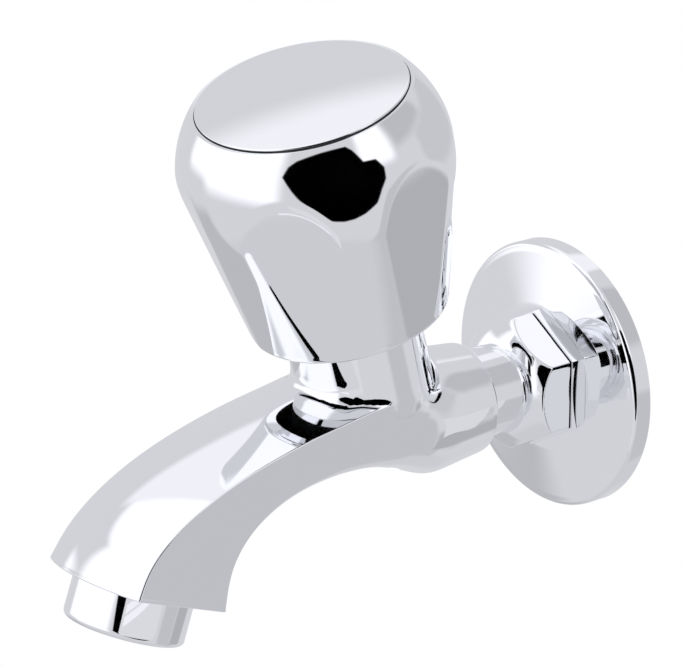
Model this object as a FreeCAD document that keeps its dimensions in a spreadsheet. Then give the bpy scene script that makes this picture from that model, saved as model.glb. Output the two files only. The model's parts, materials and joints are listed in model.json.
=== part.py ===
"""Wall-mounted bib tap with a tilted, non-rising handle.

Millimetres. Origin on the wall, on the inlet axis. +X is the user's right, +Y goes into the wall
and +Z is up, so the spout points towards -Y.

Three local frames carry the turned pieces, each with its own Z axis:
the inlet frame (Z into the wall), the valve frame (Z up the tilted handle axis, from the point
where that axis meets the inlet axis) and the outlet frame (Z along the falling water, from the
spout's end face).
"""
import FreeCAD, Part
import Sketcher
import math
import os

from FreeCAD import Placement, Rotation, Vector

os.makedirs("parts", exist_ok=True)
doc = FreeCAD.newDocument("bib_tap")

# Driving dimensions
SIZES = {
    # Where the axes lie
    "handle_reach": (48.2, "wall to the handle axis, along the inlet axis"),
    "handle_tilt": (14.6, "forward lean of the handle axis, degrees"),
    "outlet_reach": (106.65, "wall to the centre of the spout's end face"),
    "outlet_drop": (19.43, "inlet axis down to the centre of the spout's end face"),
    "outlet_angle": (19.5, "backward lean of the falling water, degrees"),
    # Play between pieces
    "thread_play": (0.06, "radial play of a screwed joint"),
    "slide_play": (0.12, "play each side of the sliding plunger"),
    "shaft_play": (0.08, "radial play of the spindle in its bore"),
    "face_gap": (0.1, "gap left between stacked faces"),
    # Barrel and inlet
    "barrel_radius": (11.2, "outside of the barrel at its end face"),
    "barrel_swell": (1.4, "growth of that radius up to the elbow"),
    "barrel_widest": (38.0, "wall to where the barrel stops growing"),
    "barrel_end": (25.7, "wall to the barrel's end face"),
    "nipple_thread_radius": (8.33, "outside of the thread that joins nipple and barrel"),
    "nipple_thread_length": (9.2, "length of that thread"),
    "nipple_socket_depth": (10.4, "depth of the threaded socket in the barrel"),
    "nipple_bore_radius": (5.5, "water bore of the nipple"),
    "nipple_neck_radius": (9.0, "plain neck between barrel and hexagon"),
    "hexagon_flats": (24.0, "hexagon across its flats"),
    "hexagon_back": (8.2, "wall to the hexagon's rear face"),
    "hexagon_length": (4.7, "hexagon, along its corners"),
    "hexagon_dome": (3.9, "domed collar in front of the hexagon"),
    "inlet_thread_radius": (10.48, "half-inch pipe thread, outside"),
    "inlet_thread_length": (13.0, "thread behind the wall face"),
    "inlet_thread_start": (4.0, "wall forward to where the full thread starts"),
    "inlet_relief": (0.3, "undercut between the hexagon and the thread"),
    "inlet_thread_chamfer": (0.8, "lead-in of the inlet thread"),
    "hexagon_dome_arc": (9.0, "radius of the domed collar's profile"),
    # Wall flange
    "flange_radius": (26.9, "outside of the wall flange"),
    "flange_rim_depth": (3.2, "straight side of the flange"),
    "flange_edge_radius": (1.0, "rounding between side and face"),
    "flange_crown": (2.0, "rise of the face from rim to lip"),
    "flange_wall": (1.2, "sheet thickness"),
    "flange_lip_flats": (24.6, "raised hexagonal lip across its flats"),
    "flange_lip_gap": (0.3, "groove between lip and hexagon"),
    "flange_seat_radius": (11.7, "raised ring that the hexagon presses on"),
    "flange_hole_play": (0.4, "radial play round the inlet thread"),
    # Casting round the valve
    "neck_radius": (13.4, "outside of the neck under the handle"),
    "flare_radius": (16.0, "foot of the flare where the neck runs into the spout"),
    "flare_low": (13.0, "level of that foot, in the valve frame"),
    "flare_high": (18.6, "level where the flare starts"),
    "flare_arc": (7.0, "radius of the flare's profile"),
    "neck_top": (27.0, "top of the neck, in the valve frame"),
    "head_thread_radius": (10.48, "half-inch thread of the headwork"),
    "head_thread_depth": (12.0, "threaded part of the neck's bore"),
    "chamber_radius": (9.0, "valve chamber"),
    "seat_floor": (4.0, "chamber floor, in the valve frame"),
    "seat_height": (1.0, "raised seat ring above the floor"),
    "seat_bore_radius": (5.5, "water way through the seat"),
    "seat_land": (1.4, "width of the seat ring"),
    "well_depth": (4.0, "bottom of the well under the seat"),
    "supply_radius": (4.5, "passage from the socket to the well"),
    "supply_fall": (1.2, "fall of that passage"),
    "elbow_start": (36.0, "wall to where the barrel starts to turn into the spout"),
    "elbow_end": (52.5, "wall to where the spout's section is reached"),
    "elbow_swell": (0.06, "extra width of the elbow round the valve, as a share"),
    # Spout: crease line (top edges) and keel line (lower edges), y then z
    "crease_root_y": (-50.0, "crease line, first point"),
    "crease_root_z": (9.65, ""),
    "crease_pull_y": (-74.7, "crease line, first handle"),
    "crease_pull_z": (7.4, ""),
    "crease_bend_y": (-108.9, "crease line, second handle"),
    "crease_bend_z": (2.1, ""),
    "spout_front": (10.45, "end face, from its centre to the creases"),
    "spout_back": (11.55, "end face, from its centre to the keel edges"),
    "keel_root_y": (-50.0, "keel line, first point"),
    "keel_root_z": (-0.9, ""),
    "keel_pull_y": (-61.6, "keel line, first handle"),
    "keel_pull_z": (-1.2, ""),
    "keel_bend_y": (-92.5, "keel line, second handle"),
    "keel_bend_z": (1.6, ""),
    "spout_half_width": (13.0, "half the width between the creases"),
    "root_half_width": (13.0, "the same, at the root"),
    "tip_flare": (1.2, "extra half width at the very end"),
    "crown_tip": (4.2, "rise of the top face between the creases, at the end"),
    "crown_root": (2.4, "the same, at the root"),
    "belly_tip": (3.3, "bulge of the underside, at the end"),
    "belly_root": (6.9, "the same, at the root"),
    "keel_square": (0.42, "how square the keel edges are at the end, 0 is round"),
    "port_z": (6.0, "middle of the outlet passage where it leaves the valve chamber"),
    "port_radius": (4.0, "outlet passage there"),
    "passage_radius": (7.0, "outlet passage at the spout's end"),
    # Outlet
    "collar_radius": (10.9, "threaded collar that carries the aerator"),
    "collar_length": (4.2, "length of the collar"),
    "collar_root": (2.0, "collar inside the spout"),
    "outlet_bore_rise": (6.0, "bore of the collar, inside the spout"),
    "outlet_bore_radius": (9.0, "bore of the collar"),
    "shell_radius": (12.1, "aerator shell, outside"),
    "shell_length": (9.0, "aerator shell, below the spout"),
    "shell_edge": (1.0, "rounded lower edge of the shell"),
    "shell_lip_radius": (9.6, "opening of the shell's lip"),
    "shell_lip_thickness": (2.2, "thickness of the shell's lip"),
    "aerator_gasket_thickness": (1.0, "rubber ring above the cage"),
    "cage_radius": (8.7, "plastic cage inside the collar"),
    "cage_wall": (0.9, "wall of the cage"),
    "cage_rise": (3.0, "cage above the spout's end face"),
    "cage_hole_radius": (0.9, "metering holes"),
    "cage_hole_ring": (5.0, "ring of the metering holes"),
    "cage_hole_count": (10, "number of metering holes"),
    "cage_plate": (1.0, "perforated plate of the cage"),
    "cage_fit": (0.1, "play of what sits in the cage"),
    "screen_level": (1.0, "first screen below the spout's end face"),
    "screen_thickness": (0.4, "each screen"),
    "screen_pitch": (2.0, "distance between the screens"),
    "screen_hole_radius": (0.55, "openings of the screens"),
    "grille_thickness": (1.2, "outlet grille"),
    "grille_hole_radius": (0.8, "openings of the grille"),
    # Headwork
    "head_shank": (11.0, "screwed shank of the headwork"),
    "head_gasket_thickness": (1.0, "ring under the headwork's hexagon"),
    "head_hexagon_flats": (22.0, "spanner flats of the headwork"),
    "head_hexagon_height": (5.0, "height of the spanner flats"),
    "tower_radius": (7.4, "gland tower"),
    "tower_height": (10.0, "gland tower above the hexagon"),
    "guide_flats": (13.6, "hexagonal bore that guides the plunger"),
    "guide_roof": (1.3, "metal between the guide bore and the top of the hexagon"),
    # Spindle
    "spindle_thread_radius": (4.0, "thread that drives the plunger"),
    "lift_room": (5.6, "room for the plunger's lift, a little over 2.25 turns of 2.2 mm"),
    "collar_height": (2.0, "height of the spindle's collar"),
    "spindle_collar_radius": (6.3, "spindle's collar"),
    "shaft_radius": (4.5, "plain shaft in the gland"),
    "ring_groove_depth": (1.1, "depth of the two ring grooves"),
    "ring_groove_width": (1.8, "width of each ring groove"),
    "ring_groove_rise": (2.3, "roof of the guide bore to the lower ring groove"),
    "ring_groove_pitch": (4.0, "distance between the two ring grooves"),
    "ring_squeeze": (0.05, "play left round each ring"),
    "clip_groove_depth": (0.5, "depth of the clip's groove"),
    "clip_thickness": (0.8, "retaining clip"),
    "clip_radius": (5.8, "outside of the retaining clip"),
    "clip_opening": (4.0, "mouth of the retaining clip"),
    "spline_radius": (4.0, "splined end, over the teeth"),
    "spline_tooth": (0.35, "depth of the splines"),
    "spline_count": (16, "number of splines"),
    "spline_rise": (2.6, "top of the gland tower to the splines"),
    "spindle_web_gap": (1.0, "upper end of the spindle below the handle's web"),
    "end_chamfer": (0.5, "chamfer of turned ends"),
    "thrust_washer_thickness": (0.5, "washer over the spindle's collar"),
    # Plunger
    "washer_radius": (7.2, "rubber seat washer"),
    "washer_thickness": (3.0, "rubber seat washer"),
    "plunger_disc_radius": (7.5, "disc that backs the washer"),
    "plunger_disc_height": (2.0, "height of that disc"),
    "plunger_length": (12.0, "hexagonal part of the plunger"),
    "plunger_web": (2.0, "solid bottom of the threaded hole"),
    "washer_screw_radius": (1.9, "screw that holds the seat washer"),
    "washer_screw_head": (3.3, "its head"),
    "washer_screw_head_height": (1.4, "its head"),
    "washer_screw_length": (4.6, "its shank"),
    "socket_flats": (2.5, "hexagon socket of the two screws"),
    "socket_depth": (1.0, "depth of those sockets"),
    # Handle
    "handle_phase": (8.0, "turn of the handle's flats when closed, degrees"),
    "handle_bottom": (25.5, "lower edge of the handle, in the valve frame"),
    "handle_bottom_radius": (19.9, "handle at its lower edge, over the ridges"),
    "handle_bottom_round": (1.2, "rounding of the lower edge"),
    "handle_shoulder_level": (53.7, "where the straight side meets the shoulder"),
    "handle_shoulder_radius": (26.7, "handle at that level, over the ridges"),
    "handle_shoulder_arc": (23.4, "radius of the shoulder's profile"),
    "handle_rim_level": (73.6, "upper rim of the handle"),
    "handle_rim_width": (0.5, "width of the upper rim"),
    "handle_wall": (3.4, "wall under the ridges"),
    "flat_count": (6, "number of finger flats"),
    "flat_bottom_radius": (19.45, "axis to a flat, at the lower edge"),
    "flat_shoulder_radius": (25.1, "axis to a flat, at the shoulder"),
    "flat_arc": (60.0, "radius of a flat's profile above the shoulder"),
    "flat_top_radius": (26.5, "axis to a flat where it runs out"),
    "flat_top_level": (68.0, "level where a flat runs out"),
    "cap_recess_depth": (2.5, "recess for the cap"),
    "cap_recess_radius": (21.4, "recess for the cap"),
    "cap_play": (0.3, "radial gap round the cap"),
    "cap_edge": (2.1, "straight edge of the cap"),
    "cap_round": (0.6, "rounding of the cap's edge"),
    "cap_crown": (1.2, "rise of the cap's top"),
    "cap_plug_radius": (6.75, "spigot under the cap"),
    "cap_plug_length": (4.0, "spigot under the cap"),
    "cap_ring_radius": (0.6, "section of the ring that grips the cap"),
    "top_plate": (3.8, "plate under the cap's recess"),
    "boss_radius": (9.5, "central boss of the handle"),
    "boss_rise": (0.6, "lower end of the boss above the foot of the splines"),
    "cavity_top_radius": (21.6, "hollow of the handle under the top plate"),
    "screw_well_radius": (7.0, "well above the handle screw"),
    "web_top": (60.0, "bottom of that well"),
    "web_thickness": (3.0, "web that the handle screw clamps"),
    "bush_radius": (6.5, "splined bush, outside"),
    "handle_screw_radius": (1.95, "handle screw"),
    "handle_screw_head": (4.0, "its head"),
    "handle_screw_head_height": (2.6, "its head"),
    "handle_screw_reach": (6.5, "screw inside the spindle"),
    "handle_washer_radius": (4.9, "washer under the head"),
    "handle_washer_thickness": (0.8, "washer under the head"),
}

sheet = doc.addObject("Spreadsheet::Sheet", "dim")
for row, (alias, (value, note)) in enumerate(SIZES.items(), start=1):
    sheet.set(f"A{row}", alias)
    sheet.set(f"B{row}", str(value))
    sheet.set(f"C{row}", note)
    sheet.setAlias(f"B{row}", alias)
doc.recompute()


def size(alias):
    """The number in the sheet under this alias."""
    return float(sheet.get(alias))


def value_of(text):
    """The number that an expression gives."""
    result = sheet.evalExpression(text)
    return float(getattr(result, "Value", result))


# Places of the three local frames
INLET = {"y": "0", "z": "0", "angle": "-90"}
VALVE = {"y": "-dim.handle_reach", "z": "0", "angle": "dim.handle_tilt"}
OUTLET = {"y": "-dim.outlet_reach", "z": "-dim.outlet_drop", "angle": "180 - dim.outlet_angle"}


def put(piece, frame):
    """Places a piece in a local frame, bound to the sheet."""
    piece.Placement = Placement(Vector(0, 0, 0), Rotation(Vector(1, 0, 0), 1))
    piece.setExpression("Placement.Base.y", frame["y"])
    piece.setExpression("Placement.Base.z", frame["z"])
    piece.setExpression("Placement.Rotation.Angle", frame["angle"])


def origin_plane(body, role):
    return next(f for f in body.Origin.OriginFeatures if f.Role == role)


def new_sketch(body, name, role):
    sketch = body.newObject("Sketcher::SketchObject", name)
    sketch.AttachmentSupport = [(origin_plane(body, role), "")]
    sketch.MapMode = "FlatFace"
    return sketch


def arc_through(start, end, radius):
    """A short arc from start to end. A positive radius bulges to the right of the way."""
    middle = (start + end) * 0.5
    chord = end - start
    reach = math.sqrt(max(radius**2 - (chord.Length / 2) ** 2, 0.0))
    left = Vector(-chord.y, chord.x, 0).normalize()
    side = 1 if radius > 0 else -1
    centre = middle + left * reach * side
    angles = [math.atan2(p.y - centre.y, p.x - centre.x) for p in (start, end)]
    circle = Part.Circle(centre, Vector(0, 0, 1), abs(radius))
    if side < 0:
        angles.reverse()
    return Part.ArcOfCircle(circle, angles[0], angles[1]), side > 0


def outline(sketch, points):
    """A closed outline. Each point is (x, y) or (x, y, radius), as expressions.

    The radius makes the stretch from that point to the next an arc, which bulges to the right
    of the way along the outline, or to the left where the radius is negative.
    """
    corners = [Vector(value_of(p[0]), value_of(p[1]), 0) for p in points]
    starts = []
    for i, point in enumerate(points):
        start, end = corners[i], corners[(i + 1) % len(corners)]
        if len(point) == 2:
            starts.append((sketch.addGeometry(Part.LineSegment(start, end)), 1, 2))
            continue
        arc, forward = arc_through(start, end, value_of(point[2]))
        index = sketch.addGeometry(arc)
        starts.append((index, 1, 2) if forward else (index, 2, 1))
        radius = sketch.addConstraint(Sketcher.Constraint("Radius", index, abs(value_of(point[2]))))
        sketch.setExpression(f"Constraints[{radius}]", f"abs({point[2]})")
    for i, (index, first, last) in enumerate(starts):
        following, next_first, _ = starts[(i + 1) % len(starts)]
        sketch.addConstraint(Sketcher.Constraint("Coincident", index, last, following, next_first))
    for i, (index, first, _) in enumerate(starts):
        for kind, text, number in (
            ("DistanceX", points[i][0], corners[i].x),
            ("DistanceY", points[i][1], corners[i].y),
        ):
            added = sketch.addConstraint(Sketcher.Constraint(kind, -1, 1, index, first, number))
            sketch.setExpression(f"Constraints[{added}]", text)


def turned(name, points):
    """A body turned about its Z axis from an outline of (radius, level) points."""
    body = doc.addObject("PartDesign::Body", name)
    sketch = new_sketch(body, name + "_profile", "XZ_Plane")
    outline(sketch, points)
    turn = body.newObject("PartDesign::Revolution", name + "_turn")
    turn.Profile = sketch
    turn.ReferenceAxis = (sketch, ["V_Axis"])
    turn.Angle = 360
    sketch.Visibility = False
    doc.recompute()
    return body


def ring(name, inner, outer, low, high):
    """A plain ring or washer."""
    return turned(name, [(inner, low), (outer, low), (outer, high), (inner, high)])


def hexagon(name, flats, low, height):
    """A hexagonal bar on the Z axis. A corner points along +Y."""
    bar = doc.addObject("Part::Prism", name)
    bar.Polygon = 6
    bar.setExpression("Circumradius", f"({flats}) / sqrt(3)")
    bar.setExpression("Height", height)
    bar.Placement = Placement(Vector(0, 0, 0), Rotation(Vector(0, 0, 1), 30))
    bar.setExpression("Placement.Base.z", low)
    return bar


def rod(name, radius, low, height):
    """A round bar on the Z axis."""
    bar = doc.addObject("Part::Cylinder", name)
    bar.setExpression("Radius", radius)
    bar.setExpression("Height", height)
    bar.setExpression("Placement.Base.z", low)
    return bar


def torus(name, major, minor, level):
    loop = doc.addObject("Part::Torus", name)
    loop.setExpression("Radius1", major)
    loop.setExpression("Radius2", minor)
    loop.setExpression("Placement.Base.z", level)
    return loop


def combine(kind, name, first, second):
    """Part::Cut, Part::Fuse or Part::Common of two objects."""
    result = doc.addObject(kind, name)
    result.Base = first
    result.Tool = second
    doc.recompute()
    return result


def group(name, members):
    result = doc.addObject("Part::Compound", name)
    result.Links = members
    doc.recompute()
    return result


def hole_ring(body, name, radius, ring_radius, count, low, through):
    """A ring of round holes along Z, cut as one pocket and a polar pattern."""
    sketch = new_sketch(body, name + "_sketch", "XY_Plane")
    sketch.setExpression("AttachmentOffset.Base.z", low)
    circle = Part.Circle(Vector(value_of(ring_radius), 0, 0), Vector(0, 0, 1), value_of(radius))
    index = sketch.addGeometry(circle)
    for kind, text in (("Radius", radius), ("DistanceX", ring_radius), ("DistanceY", "0")):
        number = value_of(text)
        if kind == "Radius":
            added = sketch.addConstraint(Sketcher.Constraint(kind, index, number))
        else:
            added = sketch.addConstraint(Sketcher.Constraint(kind, -1, 1, index, 3, number))
        sketch.setExpression(f"Constraints[{added}]", text)
    doc.recompute()
    before = body.Shape.Volume
    pocket = body.newObject("PartDesign::Pocket", name + "_pocket")
    pocket.Profile = sketch
    pocket.Reversed = True
    pocket.setExpression("Length", through)
    sketch.Visibility = False
    doc.recompute()
    pattern = body.newObject("PartDesign::PolarPattern", name + "_pattern")
    pattern.Originals = [pocket]
    pattern.Axis = (sketch, ["N_Axis"])
    pattern.Angle = 360
    pattern.setExpression("Occurrences", count)
    body.Tip = pattern
    doc.recompute()
    if body.Shape.Volume >= before:
        raise RuntimeError(f"{name} cuts nothing")


pieces = {}


def keep(name, piece, frame):
    """Names a finished sub-part and puts it in its place."""
    piece.Label = name
    put(piece, frame)
    pieces[name] = piece


# Levels that several pieces share, all in the valve frame
SEAT_TOP = "(dim.seat_floor + dim.seat_height)"
HEAD_BASE = "(dim.neck_top + dim.head_gasket_thickness)"
HEAD_TOP = f"({HEAD_BASE} + dim.head_hexagon_height)"
TOWER_TOP = f"({HEAD_TOP} + dim.tower_height)"
DISC_BOTTOM = f"({SEAT_TOP} + dim.washer_thickness)"
DISC_TOP = f"({DISC_BOTTOM} + dim.plunger_disc_height)"
THREAD_FLOOR = f"({DISC_TOP} + dim.plunger_web)"
GUIDE_TOP = f"({HEAD_TOP} - dim.guide_roof)"
COLLAR_TOP = f"({GUIDE_TOP} - dim.thrust_washer_thickness - 2 * dim.face_gap)"
GROOVE_LOW = f"({GUIDE_TOP} + dim.ring_groove_rise)"
GROOVE_HIGH = f"({GROOVE_LOW} + dim.ring_groove_pitch)"
CLIP_LOW = f"({TOWER_TOP} + 2 * dim.face_gap)"
CLIP_TOP = f"({CLIP_LOW} + dim.clip_thickness)"
SPLINE_FOOT = f"({TOWER_TOP} + dim.spline_rise)"
BOSS_BOTTOM = f"({SPLINE_FOOT} + dim.boss_rise)"
RECESS_FLOOR = "(dim.handle_rim_level - dim.cap_recess_depth)"
WEB_BOTTOM = "(dim.web_top - dim.web_thickness)"
SPINDLE_TOP = f"({WEB_BOTTOM} - dim.spindle_web_gap)"

# Levels in the inlet frame, where the wall is 0
HEXAGON_FRONT = "(-dim.hexagon_back - dim.hexagon_length)"
DOME_FRONT = f"({HEXAGON_FRONT} - dim.hexagon_dome)"
NIPPLE_END = "(-dim.barrel_end - dim.nipple_thread_length)"
RIM_FRONT = "(-dim.flange_rim_depth - dim.flange_edge_radius)"
FLANGE_FACE = f"({RIM_FRONT} - dim.flange_crown)"

# Levels in the outlet frame, where the spout's end face is 0
GASKET_END = "(dim.collar_length + dim.aerator_gasket_thickness)"
LIP_TOP = "(dim.shell_length - dim.shell_lip_thickness)"


# Shares of the spout's length: its root section, and where the outlet passage starts and ends
ROOT_SHARE = 0.0625
PORT_SHARE = 0.1
OUTLET_SHARE = 0.92


def spout_station(share):
    """Numbers of the spout's section at this share of its length, 0 at the root."""
    lean = math.radians(size("outlet_angle"))
    along = Vector(0, math.cos(lean), -math.sin(lean))
    centre = Vector(0, -size("outlet_reach"), -size("outlet_drop"))
    crease_tip = centre - along * size("spout_front")
    keel_tip = centre + along * size("spout_back")
    crease = [
        Vector(0, size("crease_root_y"), size("crease_root_z")),
        Vector(0, size("crease_pull_y"), size("crease_pull_z")),
        Vector(0, size("crease_bend_y"), size("crease_bend_z")),
        crease_tip,
    ]
    keel = [
        Vector(0, size("keel_root_y"), size("keel_root_z")),
        Vector(0, size("keel_pull_y"), size("keel_pull_z")),
        Vector(0, size("keel_bend_y"), size("keel_bend_z")),
        keel_tip,
    ]
    weights = [(1 - share) ** 3, 3 * (1 - share) ** 2 * share, 3 * (1 - share) * share**2, share**3]
    top = sum((p * w for p, w in zip(crease, weights)), Vector())
    low = sum((p * w for p, w in zip(keel, weights)), Vector())
    return {
        "top": top,
        "low": low,
        "down": (low - top).normalize(),
        "half": mixed("root_half_width", "spout_half_width", share) + size("tip_flare") * share**8,
        "crown": mixed("crown_root", "crown_tip", share),
        "belly": mixed("belly_root", "belly_tip", share),
        "square": size("keel_square") * share**2,
    }


def mixed(first, last, share):
    return size(first) + (size(last) - size(first)) * share


def smooth(share):
    """Eases from 0 to 1."""
    share = min(max(share, 0.0), 1.0)
    return share * share * (3 - 2 * share)


def spout_edges(share):
    """The spout's outline: crowned top, right side, bulged underside and left side."""
    s = spout_station(share)
    side = Vector(s["half"], 0, 0)
    left_top, right_top = s["top"] - side, s["top"] + side
    left_low, right_low = s["low"] - side, s["low"] + side
    crown = s["top"] - s["down"] * s["crown"]
    pull = s["down"] * (s["belly"] * 4 / 3)
    tuck = side * s["square"]
    underside = Part.BezierCurve()
    underside.setPoles([right_low, right_low - tuck + pull, left_low + tuck + pull, left_low])
    return [
        Part.Arc(left_top, crown, right_top).toShape(),
        Part.LineSegment(right_top, right_low).toShape(),
        underside.toShape(),
        Part.LineSegment(left_low, left_top).toShape(),
    ]


def barrel_edges(y):
    """The barrel's circle, in four arcs that match the spout's four edges."""
    growth = (-y - size("barrel_end")) / (size("barrel_widest") - size("barrel_end"))
    radius = size("barrel_radius") + size("barrel_swell") * min(growth, 1.0)

    def at(degrees):
        angle = math.radians(degrees)
        return Vector(radius * math.cos(angle), y, radius * math.sin(angle))

    stops = [(140, 90, 40), (40, 13, -15), (-15, -90, -165), (-165, -193, -220)]
    return [Part.Arc(at(a), at(b), at(c)).toShape() for a, b, c in stops]


def elbow_section(step):
    """A section between the barrel (step 0) and the spout's root (step 1)."""
    y = -mixed("elbow_start", "elbow_end", step)
    weight = smooth(step)
    swell = 1 + size("elbow_swell") * math.sin(math.pi * min(max(step, 0.0), 1.0)) ** 2
    edges = []
    for round_edge, spout_edge in zip(barrel_edges(y), spout_edges(ROOT_SHARE)):
        points = []
        for p, q in zip(round_edge.discretize(9), spout_edge.discretize(9)):
            mid = p * (1 - weight) + q * weight
            points.append(Vector(mid.x * swell, y, mid.z))
        curve = Part.BSplineCurve()
        curve.interpolate(points)
        edges.append(curve.toShape())
    return Part.Wire(edges)


def outlet_passage():
    """The water way through the spout: widening bores end to end, with a ball at each bend."""
    steps = 4
    points = []
    for i in range(steps + 1):
        s = spout_station(PORT_SHARE + (OUTLET_SHARE - PORT_SHARE) * i / steps)
        points.append((s["top"] + s["low"] + s["down"] * (s["belly"] - s["crown"])) * 0.5)
    points[0].z = size("port_z")
    growth = "(dim.passage_radius - dim.port_radius)"
    radii = [f"(dim.port_radius + {growth} * {i} / {steps})" for i in range(steps + 1)]
    members = []
    for i in range(steps):
        way = points[i + 1] - points[i]
        turn = Rotation(Vector(0, 0, 1), way)
        bore = doc.addObject("Part::Cone", f"passage_bore_{i}")
        bore.setExpression("Radius1", radii[i])
        bore.setExpression("Radius2", radii[i + 1])
        bore.Height = way.Length
        bore.Placement = Placement(points[i], turn)
        members.append(bore)
    for i in range(1, steps):
        ball = doc.addObject("Part::Sphere", f"passage_bend_{i}")
        ball.setExpression("Radius", radii[i])
        ball.Placement = Placement(points[i], Rotation())
        members.append(ball)
    return members


def section_object(name, wire):
    section = doc.addObject("Part::Feature", name)
    section.Shape = wire
    return section


def loft(name, wires):
    sections = [section_object(f"{name}_{i}", wire) for i, wire in enumerate(wires)]
    result = doc.addObject("Part::Loft", name)
    result.Sections = sections
    result.Solid = True
    result.Ruled = False
    doc.recompute()
    return result


def risen(height):
    """The outlet frame, moved up its axis into the spout."""
    return {
        "y": f"-dim.outlet_reach + {height} * sin(dim.outlet_angle)",
        "z": f"-dim.outlet_drop + {height} * cos(dim.outlet_angle)",
        "angle": OUTLET["angle"],
    }


def casting():
    """The one-piece casting: barrel, neck, spout and threaded collar, with its water ways."""
    barrel_length = size("elbow_start") - size("barrel_end")
    barrel = [Part.Wire(barrel_edges(-size("barrel_end") - barrel_length * i / 3)) for i in range(3)]
    elbow = barrel + [elbow_section(i / 6) for i in range(6)]
    shares = [ROOT_SHARE + (1 - ROOT_SHARE) * i / 8 for i in range(9)]
    spout = loft("spout_form", elbow + [Part.Wire(spout_edges(share)) for share in shares])

    neck_points = [
        ("0", "dim.seat_floor"),
        ("dim.neck_radius", "dim.seat_floor"),
        ("dim.neck_radius", "dim.neck_top"),
        ("0", "dim.neck_top"),
    ]
    neck = turned("neck_form", neck_points)
    flare_points = [
        ("0", "dim.seat_floor"),
        ("dim.flare_radius", "dim.seat_floor"),
        ("dim.flare_radius", "dim.flare_low", "-dim.flare_arc"),
        ("dim.neck_radius", "dim.flare_high"),
        ("0", "dim.flare_high"),
    ]
    flare = turned("flare_turning", flare_points)
    front = doc.addObject("Part::Box", "flare_slab")
    front.setExpression("Length", "2 * dim.neck_radius")
    front.setExpression("Width", "dim.flare_radius + 1")
    front.setExpression("Height", "dim.neck_top")
    front.setExpression("Placement.Base.x", "-dim.neck_radius")
    front.setExpression("Placement.Base.y", "-dim.flare_radius - 1")
    neck = combine("Part::Fuse", "neck_flared", neck, combine("Part::Common", "flare_form", flare, front))
    put(neck, VALVE)

    collar = rod("collar_form", "dim.collar_radius", "0", "dim.collar_length + dim.collar_root")
    put(collar, risen("dim.collar_root"))

    outside = doc.addObject("Part::MultiFuse", "casting_outside")
    outside.Shapes = [spout, neck, collar]
    doc.recompute()

    valve_bore = turned(
        "valve_bore",
        [
            ("0", "-dim.well_depth"),
            ("dim.seat_bore_radius", "-dim.well_depth"),
            ("dim.seat_bore_radius", SEAT_TOP),
            ("dim.seat_bore_radius + dim.seat_land", SEAT_TOP),
            ("dim.seat_bore_radius + dim.seat_land", "dim.seat_floor"),
            ("dim.chamber_radius", "dim.seat_floor"),
            ("dim.chamber_radius", "dim.neck_top - dim.head_thread_depth"),
            ("dim.head_thread_radius", "dim.neck_top - dim.head_thread_depth"),
            ("dim.head_thread_radius", "dim.neck_top + 1"),
            ("0", "dim.neck_top + 1"),
        ],
    )
    put(valve_bore, VALVE)

    socket = rod("socket_bore", "dim.nipple_thread_radius", "0", "dim.nipple_socket_depth + 1")
    put(socket, INLET)
    socket.setExpression("Placement.Base.y", "-dim.barrel_end - dim.nipple_socket_depth")

    supply = doc.addObject("Part::Cylinder", "supply_bore")
    supply.setExpression("Radius", "dim.supply_radius")
    run = "(dim.handle_reach - dim.barrel_end - dim.nipple_socket_depth)"
    supply.setExpression("Height", f"sqrt({run}^2 + dim.supply_fall^2) + dim.supply_radius / 2")
    put(supply, {
        "y": "-dim.handle_reach",
        "z": "-dim.supply_fall",
        "angle": f"-atan({run} / dim.supply_fall)",
    })

    bore_length = "dim.outlet_bore_rise + dim.collar_length + 1"
    outlet = rod("outlet_bore", "dim.outlet_bore_radius", "0", bore_length)
    put(outlet, risen("dim.outlet_bore_rise"))

    water = doc.addObject("Part::MultiFuse", "water_ways")
    water.Shapes = [valve_bore, socket, supply, outlet] + outlet_passage()
    doc.recompute()
    return combine("Part::Cut", "tap_body", outside, water)


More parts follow.
